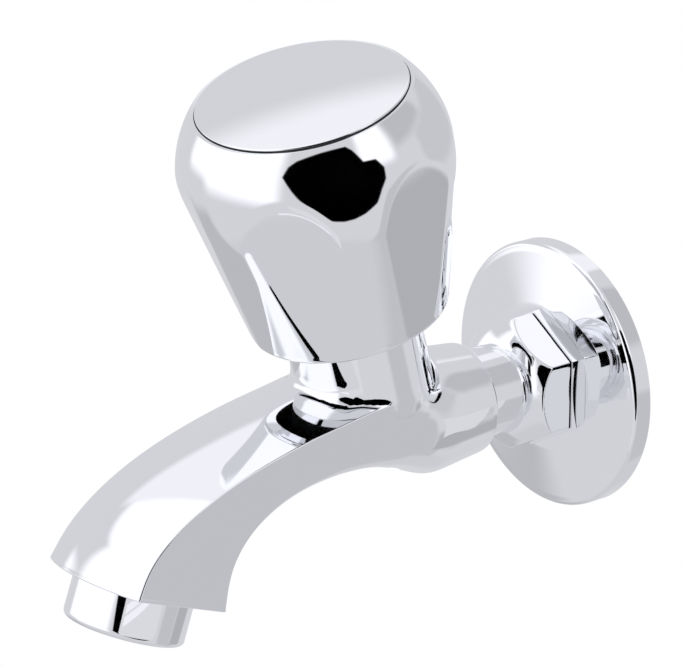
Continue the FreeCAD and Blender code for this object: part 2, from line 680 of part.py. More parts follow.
def inlet_nipple():
    """Screws into the barrel, and its hexagon clamps the flange to the wall."""
    relief = "dim.inlet_thread_radius - dim.inlet_relief"
    shank = turned(
        "nipple_shank",
        [
            ("0", NIPPLE_END),
            ("dim.nipple_thread_radius - dim.thread_play", NIPPLE_END),
            ("dim.nipple_thread_radius - dim.thread_play", "-dim.barrel_end"),
            ("dim.nipple_neck_radius", "-dim.barrel_end"),
            ("dim.nipple_neck_radius", HEXAGON_FRONT),
            (relief, HEXAGON_FRONT),
            (relief, "-dim.inlet_thread_start"),
            ("dim.inlet_thread_radius", "-dim.inlet_thread_start"),
            ("dim.inlet_thread_radius", "dim.inlet_thread_length - dim.inlet_thread_chamfer"),
            ("dim.inlet_thread_radius - dim.inlet_thread_chamfer", "dim.inlet_thread_length"),
            ("0", "dim.inlet_thread_length"),
        ],
    )
    corner = "dim.hexagon_flats / sqrt(3)"
    dome = turned(
        "nipple_dome",
        [
            ("0", DOME_FRONT),
            ("dim.nipple_neck_radius", DOME_FRONT, "dim.hexagon_dome_arc"),
            (corner, HEXAGON_FRONT),
            (corner, "-dim.hexagon_back"),
            ("0", "-dim.hexagon_back"),
        ],
    )
    bar = hexagon("nipple_bar", "dim.hexagon_flats", DOME_FRONT, f"-dim.hexagon_back - {DOME_FRONT}")
    nut = combine("Part::Common", "nipple_hexagon", dome, bar)
    solid = combine("Part::Fuse", "nipple_solid", shank, nut)
    bore = rod("nipple_bore", "dim.nipple_bore_radius", f"{NIPPLE_END} - 1", "1")
    bore.setExpression("Height", f"dim.inlet_thread_length - {NIPPLE_END} + 2")
    keep("inlet_nipple", combine("Part::Cut", "nipple", solid, bore), INLET)

    floor = "(-dim.barrel_end - dim.nipple_socket_depth)"
    seal_radius = "dim.nipple_thread_radius - 2 * dim.face_gap"
    seal = ring("nipple_seal", "dim.nipple_bore_radius", seal_radius, floor, NIPPLE_END)
    keep("nipple_gasket", seal, INLET)


def wall_flange():
    """A shallow dish with a raised hexagonal lip, held against the wall by the hexagon."""
    hole = "(dim.inlet_thread_radius + dim.flange_hole_play)"
    inside = "(dim.flange_radius - dim.flange_wall)"
    dish = turned(
        "flange_dish",
        [
            (hole, FLANGE_FACE),
            ("dim.flange_radius - dim.flange_edge_radius", RIM_FRONT, "dim.flange_edge_radius"),
            ("dim.flange_radius", "-dim.flange_rim_depth"),
            ("dim.flange_radius", "0"),
            (inside, "0"),
            (inside, f"{RIM_FRONT} + dim.flange_wall"),
            (hole, f"{FLANGE_FACE} + dim.flange_wall"),
        ],
    )
    lip_front = "(-dim.hexagon_back + dim.flange_lip_gap)"
    lip = hexagon("flange_lip", "dim.flange_lip_flats", lip_front, "1")
    lip.setExpression("Height", f"{FLANGE_FACE} + dim.flange_wall - {lip_front}")
    opening = rod("flange_opening", hole, "-dim.hexagon_back - 1", "dim.hexagon_back")
    seat = rod("flange_seat", "dim.flange_seat_radius", "-dim.hexagon_back", "dim.flange_crown")
    lipped = combine("Part::Fuse", "flange_lipped", dish, lip)
    raised = combine("Part::Fuse", "flange_raised", lipped, seat)
    keep("wall_flange", combine("Part::Cut", "flange", raised, opening), INLET)


def headwork():
    """The screwed insert that guides the plunger and carries the spindle."""
    shank = "(dim.head_thread_radius - dim.thread_play)"
    bottom = "(dim.neck_top - dim.head_shank)"
    turning = turned(
        "headwork_turning",
        [
            ("0", bottom),
            (f"{shank} - dim.end_chamfer", bottom),
            (shank, f"{bottom} + dim.end_chamfer"),
            (shank, f"{HEAD_BASE} + 1"),
            ("dim.tower_radius", f"{HEAD_BASE} + 1"),
            ("dim.tower_radius", f"{TOWER_TOP} - dim.end_chamfer"),
            ("dim.tower_radius - dim.end_chamfer", TOWER_TOP),
            ("0", TOWER_TOP),
        ],
    )
    flats = hexagon("headwork_flats", "dim.head_hexagon_flats", HEAD_BASE, "dim.head_hexagon_height")
    solid = combine("Part::Fuse", "headwork_solid", turning, flats)
    guide_height = f"{GUIDE_TOP} - {bottom} + 1"
    guide = hexagon("headwork_guide", "dim.guide_flats", f"{bottom} - 1", guide_height)
    gland_radius = "dim.shaft_radius + dim.shaft_play"
    gland = rod("headwork_gland", gland_radius, bottom, f"{TOWER_TOP} - {bottom} + 1")
    hollow = combine("Part::Fuse", "headwork_hollow", guide, gland)
    keep("headwork_body", combine("Part::Cut", "headwork", solid, hollow), VALVE)
    seal = ring(
        "headwork_seal",
        "dim.head_thread_radius + dim.face_gap",
        "dim.neck_radius - 1",
        "dim.neck_top",
        HEAD_BASE,
    )
    keep("headwork_gasket", seal, VALVE)


def spindle():
    """Turns without rising. Its lower thread drives the plunger."""
    shaft = "dim.shaft_radius"
    groove = "dim.shaft_radius - dim.ring_groove_depth"
    clip_seat = "dim.shaft_radius - dim.clip_groove_depth"
    bore = "(dim.handle_screw_radius + dim.thread_play)"
    bore_floor = f"({SPINDLE_TOP} - dim.handle_screw_reach - dim.spindle_web_gap)"
    collar_bottom = f"({COLLAR_TOP} - dim.collar_height)"
    outline_points = [
        ("0", f"{THREAD_FLOOR} + dim.lift_room"),
        ("dim.spindle_thread_radius", f"{THREAD_FLOOR} + dim.lift_room"),
        ("dim.spindle_thread_radius", collar_bottom),
        ("dim.spindle_collar_radius", collar_bottom),
        ("dim.spindle_collar_radius", COLLAR_TOP),
        (shaft, COLLAR_TOP),
    ]
    for low in (GROOVE_LOW, GROOVE_HIGH):
        outline_points += [
            (shaft, low),
            (groove, low),
            (groove, f"{low} + dim.ring_groove_width"),
            (shaft, f"{low} + dim.ring_groove_width"),
        ]
    outline_points += [
        (shaft, f"{CLIP_LOW} - dim.face_gap"),
        (clip_seat, f"{CLIP_LOW} - dim.face_gap"),
        (clip_seat, f"{CLIP_TOP} + dim.face_gap"),
        (shaft, f"{CLIP_TOP} + dim.face_gap"),
        (shaft, SPLINE_FOOT),
        ("dim.spline_radius", SPLINE_FOOT),
        ("dim.spline_radius", f"{SPINDLE_TOP} - dim.end_chamfer"),
        ("dim.spline_radius - dim.end_chamfer", SPINDLE_TOP),
        (bore, SPINDLE_TOP),
        (bore, bore_floor),
        ("0", bore_floor),
    ]
    rod_body = turned("spindle_turning", outline_points)
    hole_ring(
        rod_body,
        "spline",
        "dim.spline_tooth",
        "dim.spline_radius",
        "dim.spline_count",
        f"{SPLINE_FOOT} + dim.boss_rise",
        f"{SPINDLE_TOP} - {SPLINE_FOOT}",
    )
    keep("spindle", rod_body, VALVE)

    section = "((dim.ring_groove_depth + dim.shaft_play) / 2 - dim.ring_squeeze)"
    middle = "(dim.shaft_radius + (dim.shaft_play - dim.ring_groove_depth) / 2)"
    rings = [
        torus(f"spindle_ring_{i}", middle, section, f"{low} + dim.ring_groove_width / 2")
        for i, low in enumerate((GROOVE_LOW, GROOVE_HIGH))
    ]
    keep("spindle_rings", group("spindle_ring_pair", rings), VALVE)

    clip_bore = f"{clip_seat} + dim.ring_squeeze"
    clip = ring("clip_ring", clip_bore, "dim.clip_radius", CLIP_LOW, CLIP_TOP)
    mouth = doc.addObject("Part::Box", "clip_mouth")
    mouth.setExpression("Length", "dim.clip_radius + 1")
    mouth.setExpression("Width", "dim.clip_opening")
    mouth.setExpression("Height", "dim.clip_thickness + 2")
    mouth.setExpression("Placement.Base.y", "-dim.clip_opening / 2")
    mouth.setExpression("Placement.Base.z", f"{CLIP_LOW} - 1")
    keep("spindle_clip", combine("Part::Cut", "clip", clip, mouth), VALVE)

    washer = ring(
        "spindle_washer",
        "dim.shaft_radius + dim.shaft_play",
        "dim.spindle_collar_radius",
        COLLAR_TOP,
        f"{COLLAR_TOP} + dim.thrust_washer_thickness",
    )
    keep("thrust_washer", washer, VALVE)


def plunger():
    """Slides up its hexagonal guide as the spindle turns, and carries the rubber washer."""
    disc = rod("plunger_disc", "dim.plunger_disc_radius", DISC_BOTTOM, "dim.plunger_disc_height")
    bar = hexagon(
        "plunger_bar",
        "dim.guide_flats - 2 * dim.slide_play",
        f"{DISC_BOTTOM} + dim.plunger_disc_height / 2",
        "dim.plunger_length + dim.plunger_disc_height / 2",
    )
    solid = combine("Part::Fuse", "plunger_solid", disc, bar)
    thread = rod(
        "plunger_thread",
        "dim.spindle_thread_radius + dim.thread_play",
        THREAD_FLOOR,
        "dim.plunger_length",
    )
    screw_hole = rod(
        "plunger_screw_hole",
        "dim.washer_screw_radius + dim.thread_play",
        f"{DISC_BOTTOM} - 1",
        "dim.washer_screw_length - dim.washer_thickness + 1 + 2 * dim.face_gap",
    )
    holes = combine("Part::Fuse", "plunger_holes", thread, screw_hole)
    keep("valve_plunger", combine("Part::Cut", "plunger", solid, holes), VALVE)

    rubber = ring(
        "rubber_washer",
        "dim.washer_screw_radius + dim.face_gap",
        "dim.washer_radius",
        SEAT_TOP,
        DISC_BOTTOM,
    )
    keep("seat_washer", rubber, VALVE)

    head_bottom = f"({SEAT_TOP} - dim.washer_screw_head_height)"
    screw = socket_screw(
        "washer_fastener",
        "dim.washer_screw_radius",
        "dim.washer_screw_head",
        head_bottom,
        SEAT_TOP,
        f"{SEAT_TOP} + dim.washer_screw_length",
    )
    keep("washer_screw", screw, VALVE)


def socket_screw(name, radius, head_radius, head_end, head_seat, tip):
    """A screw along Z with a hexagon socket. head_end may lie above or below its tip."""
    low_head = value_of(head_end) < value_of(tip)
    points = [("0", head_end), (head_radius, head_end), (head_radius, head_seat)]
    points += [(radius, head_seat), (radius, tip), ("0", tip)]
    if not low_head:
        points.reverse()
    blank = turned(name + "_blank", points)
    socket_low = f"{head_end} - 1" if low_head else f"{head_end} - dim.socket_depth"
    socket = hexagon(name + "_socket", "dim.socket_flats", socket_low, "dim.socket_depth + 1")
    return combine("Part::Cut", name, blank, socket)


def handle():
    """The hollow handle with its finger flats, and what fastens it to the spindle."""
    bush_bore = "(dim.bush_radius + dim.thread_play)"
    plate_bottom = f"({RECESS_FLOOR} - dim.top_plate)"
    screw_hole = "(dim.handle_screw_radius + 3 * dim.face_gap)"
    shell = turned(
        "handle_turning",
        [
            ("dim.handle_bottom_radius - dim.handle_wall", "dim.handle_bottom"),
            (
                "dim.handle_bottom_radius - dim.handle_bottom_round",
                "dim.handle_bottom",
                "dim.handle_bottom_round",
            ),
            ("dim.handle_bottom_radius", "dim.handle_bottom + dim.handle_bottom_round"),
            ("dim.handle_shoulder_radius", "dim.handle_shoulder_level", "dim.handle_shoulder_arc"),
            ("dim.cap_recess_radius + dim.handle_rim_width", "dim.handle_rim_level"),
            ("dim.cap_recess_radius", "dim.handle_rim_level"),
            ("dim.cap_recess_radius", RECESS_FLOOR),
            ("dim.screw_well_radius", RECESS_FLOOR),
            ("dim.screw_well_radius", "dim.web_top"),
            (screw_hole, "dim.web_top"),
            (screw_hole, WEB_BOTTOM),
            (bush_bore, WEB_BOTTOM),
            (bush_bore, BOSS_BOTTOM),
            ("dim.boss_radius", BOSS_BOTTOM),
            ("dim.boss_radius", plate_bottom),
            ("dim.cavity_top_radius", plate_bottom),
            ("dim.handle_shoulder_radius - dim.handle_wall", "dim.handle_shoulder_level"),
        ],
    )
    flat = new_sketch(shell, "flat_profile", "XZ_Plane")
    outer = "(dim.handle_shoulder_radius + 8)"
    outline(
        flat,
        [
            ("dim.flat_bottom_radius", "dim.handle_bottom"),
            ("dim.flat_shoulder_radius", "dim.handle_shoulder_level", "dim.flat_arc"),
            ("dim.flat_top_radius", "dim.flat_top_level"),
            (outer, "dim.flat_top_level"),
            (outer, "dim.handle_bottom - 1"),
            ("dim.flat_bottom_radius", "dim.handle_bottom - 1"),
        ],
    )
    doc.recompute()
    before = shell.Shape.Volume
    cut = shell.newObject("PartDesign::Pocket", "flat_cut")
    cut.Profile = flat
    cut.SideType = "Symmetric"
    cut.setExpression("Length", "2 * dim.handle_shoulder_radius")
    flat.Visibility = False
    doc.recompute()
    flats = shell.newObject("PartDesign::PolarPattern", "flats")
    flats.Originals = [cut]
    flats.Axis = (flat, ["V_Axis"])
    flats.Angle = 360
    flats.setExpression("Occurrences", "dim.flat_count")
    shell.Tip = flats
    doc.recompute()
    if shell.Shape.Volume >= before:
        raise RuntimeError("the finger flats cut nothing")
    keep("handle_shell", shell, VALVE)
    lean = Rotation(Vector(1, 0, 0), size("handle_tilt"))
    shell.setExpression("Placement.Rotation.Angle", None)
    turn = lean.multiply(Rotation(Vector(0, 0, 1), size("handle_phase")))
    shell.Placement = Placement(shell.Placement.Base, turn)

    spline_clear = "dim.spline_radius + dim.ring_squeeze"
    bush = ring("splined_bush", spline_clear, "dim.bush_radius", BOSS_BOTTOM, WEB_BOTTOM)
    keep("handle_bush", bush, VALVE)

    head_seat = "(dim.web_top + dim.handle_washer_thickness)"
    screw = socket_screw(
        "handle_fastener",
        "dim.handle_screw_radius",
        "dim.handle_screw_head",
        f"{head_seat} + dim.handle_screw_head_height",
        head_seat,
        f"{SPINDLE_TOP} - dim.handle_screw_reach",
    )
    keep("handle_screw", screw, VALVE)
    washer = ring(
        "fastener_washer", screw_hole, "dim.handle_washer_radius", "dim.web_top", head_seat
    )
    keep("handle_screw_washer", washer, VALVE)


def cap():
    """The bare disc that closes the handle, held by a ring on its spigot."""
    edge = "(dim.cap_recess_radius - dim.cap_play)"
    face = f"({edge} - dim.cap_round)"
    edge_top = f"({RECESS_FLOOR} + dim.cap_edge)"
    face_rim = f"({edge_top} + dim.cap_round)"
    plug_bottom = f"({RECESS_FLOOR} - dim.cap_plug_length)"
    groove = "(dim.cap_plug_radius - 2 * dim.cap_ring_radius + 4 * dim.ring_squeeze)"
    middle = f"({RECESS_FLOOR} - dim.cap_plug_length / 2)"
    half_width = "(dim.cap_ring_radius + dim.ring_squeeze)"
    disc = turned(
        "cap_turning",
        [
            ("0", plug_bottom),
            ("dim.cap_plug_radius", plug_bottom),
            ("dim.cap_plug_radius", f"{middle} - {half_width}"),
            (groove, f"{middle} - {half_width}"),
            (groove, f"{middle} + {half_width}"),
            ("dim.cap_plug_radius", f"{middle} + {half_width}"),
            ("dim.cap_plug_radius", RECESS_FLOOR),
            (edge, RECESS_FLOOR),
            (edge, edge_top, "dim.cap_round"),
            (face, face_rim, f"({face}^2 + dim.cap_crown^2) / (2 * dim.cap_crown)"),
            ("0", f"{face_rim} + dim.cap_crown"),
        ],
    )
    keep("handle_cap", disc, VALVE)
    grip = torus(
        "cap_grip", f"{groove} + dim.cap_ring_radius + dim.ring_squeeze", "dim.cap_ring_radius", middle
    )
    keep("cap_ring", group("cap_grip_ring", [grip]), VALVE)


def perforated_disc(name, radius, low, thickness, hole, rings):
    """A round plate with a hole in the middle and rings of holes, given as (radius, count)."""
    plate = ring(name, hole, radius, low, f"({low}) + {thickness}")
    for i, (ring_radius, count) in enumerate(rings):
        hole_ring(plate, f"{name}_{i}", hole, ring_radius, count, low, thickness)
    return plate


def aerator():
    """Shell, rubber ring, cage, two screens and outlet grille on the spout's collar."""
    inside = "(dim.collar_radius + dim.face_gap)"
    edge = "dim.shell_radius - dim.shell_edge"
    shell = turned(
        "shell_turning",
        [
            (inside, "dim.face_gap"),
            ("dim.shell_radius", "dim.face_gap"),
            ("dim.shell_radius", "dim.shell_length - dim.shell_edge", "dim.shell_edge"),
            (edge, "dim.shell_length"),
            ("dim.shell_lip_radius", "dim.shell_length"),
            ("dim.shell_lip_radius", LIP_TOP),
            (inside, LIP_TOP),
        ],
    )
    keep("aerator_shell", shell, OUTLET)

    seal = ring(
        "aerator_seal",
        "dim.outlet_bore_radius + dim.face_gap",
        "dim.collar_radius",
        "dim.collar_length",
        GASKET_END,
    )
    keep("aerator_gasket", seal, OUTLET)

    cage_inside = "(dim.cage_radius - dim.cage_wall)"
    skirt = "(dim.shell_lip_radius - dim.cage_fit)"
    skirt_end = "(dim.shell_length - 4 * dim.face_gap)"
    cage = turned(
        "cage_turning",
        [
            ("0", "-dim.cage_rise"),
            ("dim.cage_radius", "-dim.cage_rise"),
            ("dim.cage_radius", GASKET_END),
            ("dim.collar_radius", GASKET_END),
            ("dim.collar_radius", LIP_TOP),
            (skirt, LIP_TOP),
            (skirt, skirt_end),
            (cage_inside, skirt_end),
            (cage_inside, "dim.cage_plate - dim.cage_rise"),
            ("0", "dim.cage_plate - dim.cage_rise"),
        ],
    )
    hole_ring(
        cage,
        "metering_holes",
        "dim.cage_hole_radius",
        "dim.cage_hole_ring",
        "dim.cage_hole_count",
        "-dim.cage_rise",
        "dim.cage_plate",
    )
    keep("aerator_cage", cage, OUTLET)

    shares = (0.27, 0.53, 0.79)
    holes = [(f"{share} * {cage_inside}", str(6 * i)) for i, share in enumerate(shares, start=1)]
    screens = [
        perforated_disc(
            f"screen_{i}",
            cage_inside,
            f"dim.screen_level + {i} * dim.screen_pitch",
            "dim.screen_thickness",
            "dim.screen_hole_radius",
            holes,
        )
        for i in range(2)
    ]
    keep("aerator_screens", group("screen_pair", screens), OUTLET)
    grille = perforated_disc(
        "grille_plate",
        cage_inside,
        f"{skirt_end} - dim.grille_thickness",
        "dim.grille_thickness",
        "dim.grille_hole_radius",
        holes,
    )
    keep("aerator_grille", grille, OUTLET)


tap = casting()
tap.Label = "tap_body"
pieces["tap_body"] = tap
inlet_nipple()
wall_flange()
headwork()
spindle()
plunger()
handle()
cap()
aerator()


def check_and_write():
    """Every object and shape is sound before anything is written."""
    doc.recompute()
    for item in doc.Objects:
        if "Invalid" in item.State or "Error" in item.State:
            raise RuntimeError(f"{item.Label} failed: {item.State}")
    for name, piece in pieces.items():
        shape = piece.Shape
        if shape.isNull() or not shape.isValid():
            raise RuntimeError(f"{name} has no sound shape")
        print(name, "solids", len(shape.Solids), "volume", round(shape.Volume, 1))
    for name, piece in pieces.items():
        piece.Shape.exportStep(f"parts/{name}.step")


check_and_write()
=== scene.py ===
"""Looks of the bib tap: smooth chrome skins over the frame, materials, studio and camera.

Lengths are millimetres in three local frames, each with its own Z axis: the inlet frame (Z into
the wall), the valve frame (Z up the tilted handle axis) and the outlet frame (Z along the falling
water). The casting's barrel and spout are drawn in the shared frame.
"""

import json
import math

import bpy
import numpy as np
from mathutils import Matrix, Vector
from mathutils.bvhtree import BVHTree


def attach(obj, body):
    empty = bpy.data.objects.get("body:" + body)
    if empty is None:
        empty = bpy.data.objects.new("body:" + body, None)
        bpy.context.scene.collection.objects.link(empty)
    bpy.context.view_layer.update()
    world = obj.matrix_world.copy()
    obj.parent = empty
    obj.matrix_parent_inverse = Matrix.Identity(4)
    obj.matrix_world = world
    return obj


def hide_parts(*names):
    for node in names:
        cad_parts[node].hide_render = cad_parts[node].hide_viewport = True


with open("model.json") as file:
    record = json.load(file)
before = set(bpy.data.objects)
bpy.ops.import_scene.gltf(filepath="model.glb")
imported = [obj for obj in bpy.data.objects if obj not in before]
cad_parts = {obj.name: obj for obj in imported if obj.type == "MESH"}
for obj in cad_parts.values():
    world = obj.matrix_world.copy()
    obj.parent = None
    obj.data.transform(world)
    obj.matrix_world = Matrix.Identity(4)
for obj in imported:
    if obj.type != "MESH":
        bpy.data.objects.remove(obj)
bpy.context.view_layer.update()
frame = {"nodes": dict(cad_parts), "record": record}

MM = 0.001
VALVE_Y, VALVE_TILT = -48.2, 14.6
OUTLET_Y, OUTLET_Z, OUTLET_LEAN = -106.65, -19.43, 19.5
INLET = Matrix.Rotation(math.radians(-90), 4, "X")
VALVE = Matrix.Translation((0, VALVE_Y, 0)) @ Matrix.Rotation(math.radians(VALVE_TILT), 4, "X")
OUTLET = Matrix.Translation((0, OUTLET_Y, OUTLET_Z))
OUTLET = OUTLET @ Matrix.Rotation(math.radians(180 - OUTLET_LEAN), 4, "X")


# Shader helpers
class Nodes:
    """Short calls for building a node tree."""

    def __init__(self, tree):
        self.tree = tree
        tree.nodes.clear()

    def add(self, kind, **settings):
        node = self.tree.nodes.new(kind)
        for key, value in settings.items():
            setattr(node, key, value)
        return node

    def put(self, socket, value):
        """Links a socket to another, or sets it to a plain value."""
        if isinstance(value, bpy.types.NodeSocket):
            self.tree.links.new(value, socket)
        else:
            socket.default_value = value

    def fill(self, node, values):
        for socket, value in zip(node.inputs, values):
            self.put(socket, value)
        return node.outputs[0]

    def math(self, operation, *values):
        return self.fill(self.add("ShaderNodeMath", operation=operation), values)

    def dot(self, vector, direction):
        node = self.add("ShaderNodeVectorMath", operation="DOT_PRODUCT")
        self.put(node.inputs[0], vector)
        node.inputs[1].default_value = direction
        return node.outputs["Value"]

    def ramp(self, value, low, high, to_low=0.0, to_high=1.0):
        """A smooth step from one value to another between low and high."""
        node = self.add("ShaderNodeMapRange", interpolation_type="SMOOTHSTEP")
        return self.fill(node, (value, low, high, to_low, to_high))

    def noise(self, vector, scale, detail=3.0):
        node = self.add("ShaderNodeTexNoise")
        self.put(node.inputs["Vector"], vector)
        node.inputs["Scale"].default_value = scale
        node.inputs["Detail"].default_value = detail
        return node.outputs["Fac"]

    def mix(self, share, first, second):
        node = self.add("ShaderNodeMix", data_type="FLOAT")
        self.put(node.inputs[0], share)
        self.put(node.inputs[2], first)
        self.put(node.inputs[3], second)
        return node.outputs[0]

    def either(self, share, first, second):
        """The first shader where share is 0, and the second where it is 1."""
        return self.fill(self.add("ShaderNodeMixShader"), (share, first, second))

    def finish(self, kind, shader):
        self.put(self.add(kind).inputs["Surface"], shader)


def new_material(name):
    material = bpy.data.materials.new(name)
    material.use_nodes = True
    return material, Nodes(material.node_tree)


CLOUD_FROM, CLOUD_TO = 0.3, 0.7
TONE_FROM, TONE_TO, TONE_GRAIN, TONE_DETAIL = 0.35, 0.7, 0.35, 5.0
RELIEF_DETAIL = 4.0


def surface(name, colour, metallic, rough, relief, spread=0.0, grain=600.0, tone=0.0):
    """A material whose roughness, tone and relief vary with noise over the object.

    relief is its strength, distance and noise scale. spread is added to the roughness, and tone
    is the share by which the colour darkens.
    """
    material, n = new_material(name)
    shader = n.add("ShaderNodeBsdfPrincipled")
    n.finish("ShaderNodeOutputMaterial", shader.outputs[0])
    where = n.add("ShaderNodeTexCoord").outputs["Object"]
    shader.inputs["Base Color"].default_value = (*colour, 1)
    shader.inputs["Metallic"].default_value = metallic
    shader.inputs["Roughness"].default_value = rough
    if spread:
        cloud = n.ramp(n.noise(where, grain), CLOUD_FROM, CLOUD_TO, rough, rough + spread)
        n.put(shader.inputs["Roughness"], cloud)
    if tone:
        mixer = n.add("ShaderNodeMix", data_type="RGBA")
        patches = n.noise(where, grain * TONE_GRAIN, TONE_DETAIL)
        n.put(mixer.inputs[0], n.ramp(patches, TONE_FROM, TONE_TO))
        mixer.inputs[6].default_value = (*colour, 1)
        mixer.inputs[7].default_value = (*(c * (1 - tone) for c in colour), 1)
        n.put(shader.inputs["Base Color"], mixer.outputs[2])
    strength, distance, scale = relief
    bump = n.add("ShaderNodeBump")
    bump.inputs["Strength"].default_value = strength
    bump.inputs["Distance"].default_value = distance
    n.put(bump.inputs["Height"], n.noise(where, scale, RELIEF_DETAIL))
    n.put(shader.inputs["Normal"], bump.outputs[0])
    return material


CHROME = surface(
    "chrome", (0.93, 0.935, 0.955), 1.0, 0.025, (0.04, 0.0002, 60.0), spread=0.02, grain=140.0
)
# Dark grey raw casting for the hollow inside the handle; the same material is painted shade on the
# chrome walls of the groove round the cap.
CASTING_AND_GROOVE_SHADE = surface("raw_casting_and_groove_shade", (0.055, 0.056, 0.06), 0.3, 0.55, (0.5, 0.0004, 900.0), tone=0.4)
SLOTS = {
    "chrome": CHROME,
    "brass": surface(
        "brass", (0.72, 0.52, 0.22), 1.0, 0.24, (0.2, 0.0002, 700.0), spread=0.12, tone=0.2
    ),
    "steel": surface(
        "steel", (0.58, 0.58, 0.6), 1.0, 0.26, (0.2, 0.0002, 900.0), spread=0.12, tone=0.15
    ),
    "rubber": surface(
        "rubber", (0.022, 0.022, 0.024), 0.0, 0.62, (0.4, 0.0003, 1400.0), spread=0.1, tone=0.3
    ),
    "fibre": surface("fibre", (0.42, 0.09, 0.06), 0.0, 0.8, (0.7, 0.0004, 1800.0), tone=0.3),
    "plastic": surface(
        "plastic", (0.80, 0.80, 0.78), 0.0, 0.38, (0.15, 0.0002, 1100.0), spread=0.08, tone=0.06
    ),
}
for part in frame["record"]["subparts"]:
    node = frame["nodes"][part["node"]]
    node.data.materials.clear()
    node.data.materials.append(SLOTS[part["material_slot"]])

SHARP_EDGE = math.radians(40)
NEAR_AXIS = 0.001


# Mesh helpers
def build(name, matrix, points, faces, body, node, normals=None, dark_marks=None):
    """A smooth mesh from points in a local frame, riding on a body in place of a node."""
    mesh = bpy.data.meshes.new(name)
    placed = [matrix @ Vector(p) * MM for p in points]
    mesh.from_pydata([tuple(p) for p in placed], [], faces)
    mesh.materials.append(CHROME)
    # Marked faces take the dark material, which is painted shade where it lines the groove round the
    # cap.
    if dark_marks is not None:
        mesh.materials.append(CASTING_AND_GROOVE_SHADE)
        mesh.polygons.foreach_set("material_index", dark_marks)
    mesh.polygons.foreach_set("use_smooth", [True] * len(mesh.polygons))
    mesh.update()
    if normals is not None:
        mesh.normals_split_custom_set_from_vertices([tuple(v) for v in normals])
    else:
        mesh.set_sharp_from_angle(angle=SHARP_EDGE)
    piece = bpy.data.objects.new(name, mesh)
    bpy.context.scene.collection.objects.link(piece)
    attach(piece, body)
    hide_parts(node)


def grid_faces(rows, columns, closed_rows=False):
    """Quads of a grid whose columns close on themselves."""
    faces = []
    for i in range(rows if closed_rows else rows - 1):
        for j in range(columns):
            k = (j + 1) % columns
            a, b = i * columns, ((i + 1) % rows) * columns
            faces.append((a + j, a + k, b + k, b + j))
    return faces


def soften(points, steps):
    """Rounds the corners of a line. Each point is (radius, level) or (radius, level, reach)."""
    result = []
    for i, point in enumerate(points):
        corner = np.array(point[:2], float)
        if len(point) < 3:
            result.append(tuple(corner))
            continue
        before = np.array(points[i - 1][:2], float) - corner
        after = np.array(points[(i + 1) % len(points)][:2], float) - corner
        start = corner + before / np.linalg.norm(before) * point[2]
        end = corner + after / np.linalg.norm(after) * point[2]
        for t in np.linspace(0, 1, steps + 1):
            result.append(tuple(start * (1 - t) ** 2 + corner * 2 * t * (1 - t) + end * t**2))
    return result


def arc(start, end, radius, steps):
    """Points after start up to end on a short arc. A positive radius bulges to the right."""
    a, b = np.array(start, float), np.array(end, float)
    chord = b - a
    half = np.linalg.norm(chord) / 2
    left = np.array((-chord[1], chord[0])) / (2 * half)
    centre = (a + b) / 2 + left * math.sqrt(radius**2 - half**2) * (1 if radius > 0 else -1)
    first = math.atan2(*(a - centre)[::-1])
    turn = math.atan2(*(b - centre)[::-1]) - first
    turn = (turn + math.pi) % (2 * math.pi) - math.pi
    angles = first + turn * np.linspace(0, 1, steps + 1)[1:]
    return [tuple(centre + abs(radius) * np.array((math.cos(v), math.sin(v)))) for v in angles]


def lathe(name, matrix, profile, body, node, segments, shape=None, closed=True, dark_marks=None):
    """Turns a profile of (radius, level), and replaces a node with it.

    shape(radii, levels, angles) gives radii that are pressed out of round. The marked rows
    take the dark material: raw casting in the handle's hollow, and painted shade on the groove round the
    cap.
    """
    rows = np.array(profile, float)
    angles = np.arange(segments) * 2 * math.pi / segments
    radii = np.repeat(rows[:, :1], segments, axis=1)
    levels = np.repeat(rows[:, 1:], segments, axis=1)
    if shape is not None:
        radii = shape(radii, levels, angles)
    points = np.stack([radii * np.cos(angles), radii * np.sin(angles), levels], axis=-1)
    faces = grid_faces(len(rows), segments, closed)
    marks = None
    if dark_marks is not None:
        marks = [dark_marks[i // segments] for i in range(len(faces))]
    build(name, matrix, points.reshape(-1, 3), faces, body, node, dark_marks=marks)


def soft_min(first, second, width):
    """The smaller of two values, with a soft change over a width."""
    share = np.clip(0.5 + 0.5 * (second - first) / width, 0, 1)
    return second * (1 - share) + first * share - width * share * (1 - share)


def hex_reach(angles, flats, phase=0.0):
    """Distance from the axis to the sides of a hexagonal bar, at each angle."""
    step = 2 * math.pi / 6
    off = (angles - phase + step / 2) % step - step / 2
    return flats / 2 / np.cos(off)


# Handle: a cone with a domed shoulder, six pressed flats, a recess for the cap and a hollow
HANDLE_PHASE = math.radians(8)
BOTTOM, SHOULDER, RIM = 25.5, 53.7, 73.6
BOTTOM_RADIUS, SHOULDER_RADIUS, RECESS_RADIUS = 19.9, 26.7, 21.4
FOOT_ROUND, SHOULDER_ARC, RIM_WIDTH, RIM_ROUND, RIM_STEPS = 1.2, 23.4, 0.5, 0.25, 4
FLAT_BOTTOM, FLAT_SHOULDER, FLAT_TOP, FLAT_TOP_LEVEL, FLAT_BULGE = 19.45, 25.1, 26.5, 68.0, 60.0
RIDGE_SOFTNESS = 0.45
WALL, HOLLOW_RADIUS, HOLLOW_TOP = 3.4, 21.6, 67.6
RECESS_FLOOR, WEB_TOP, WEB_BOTTOM, BOSS_BOTTOM = 71.1, 60.0, 57.0, 46.2
WELL_RADIUS, SCREW_HOLE, BUSH_RADIUS, BOSS_RADIUS = 7.0, 2.25, 6.56, 9.5

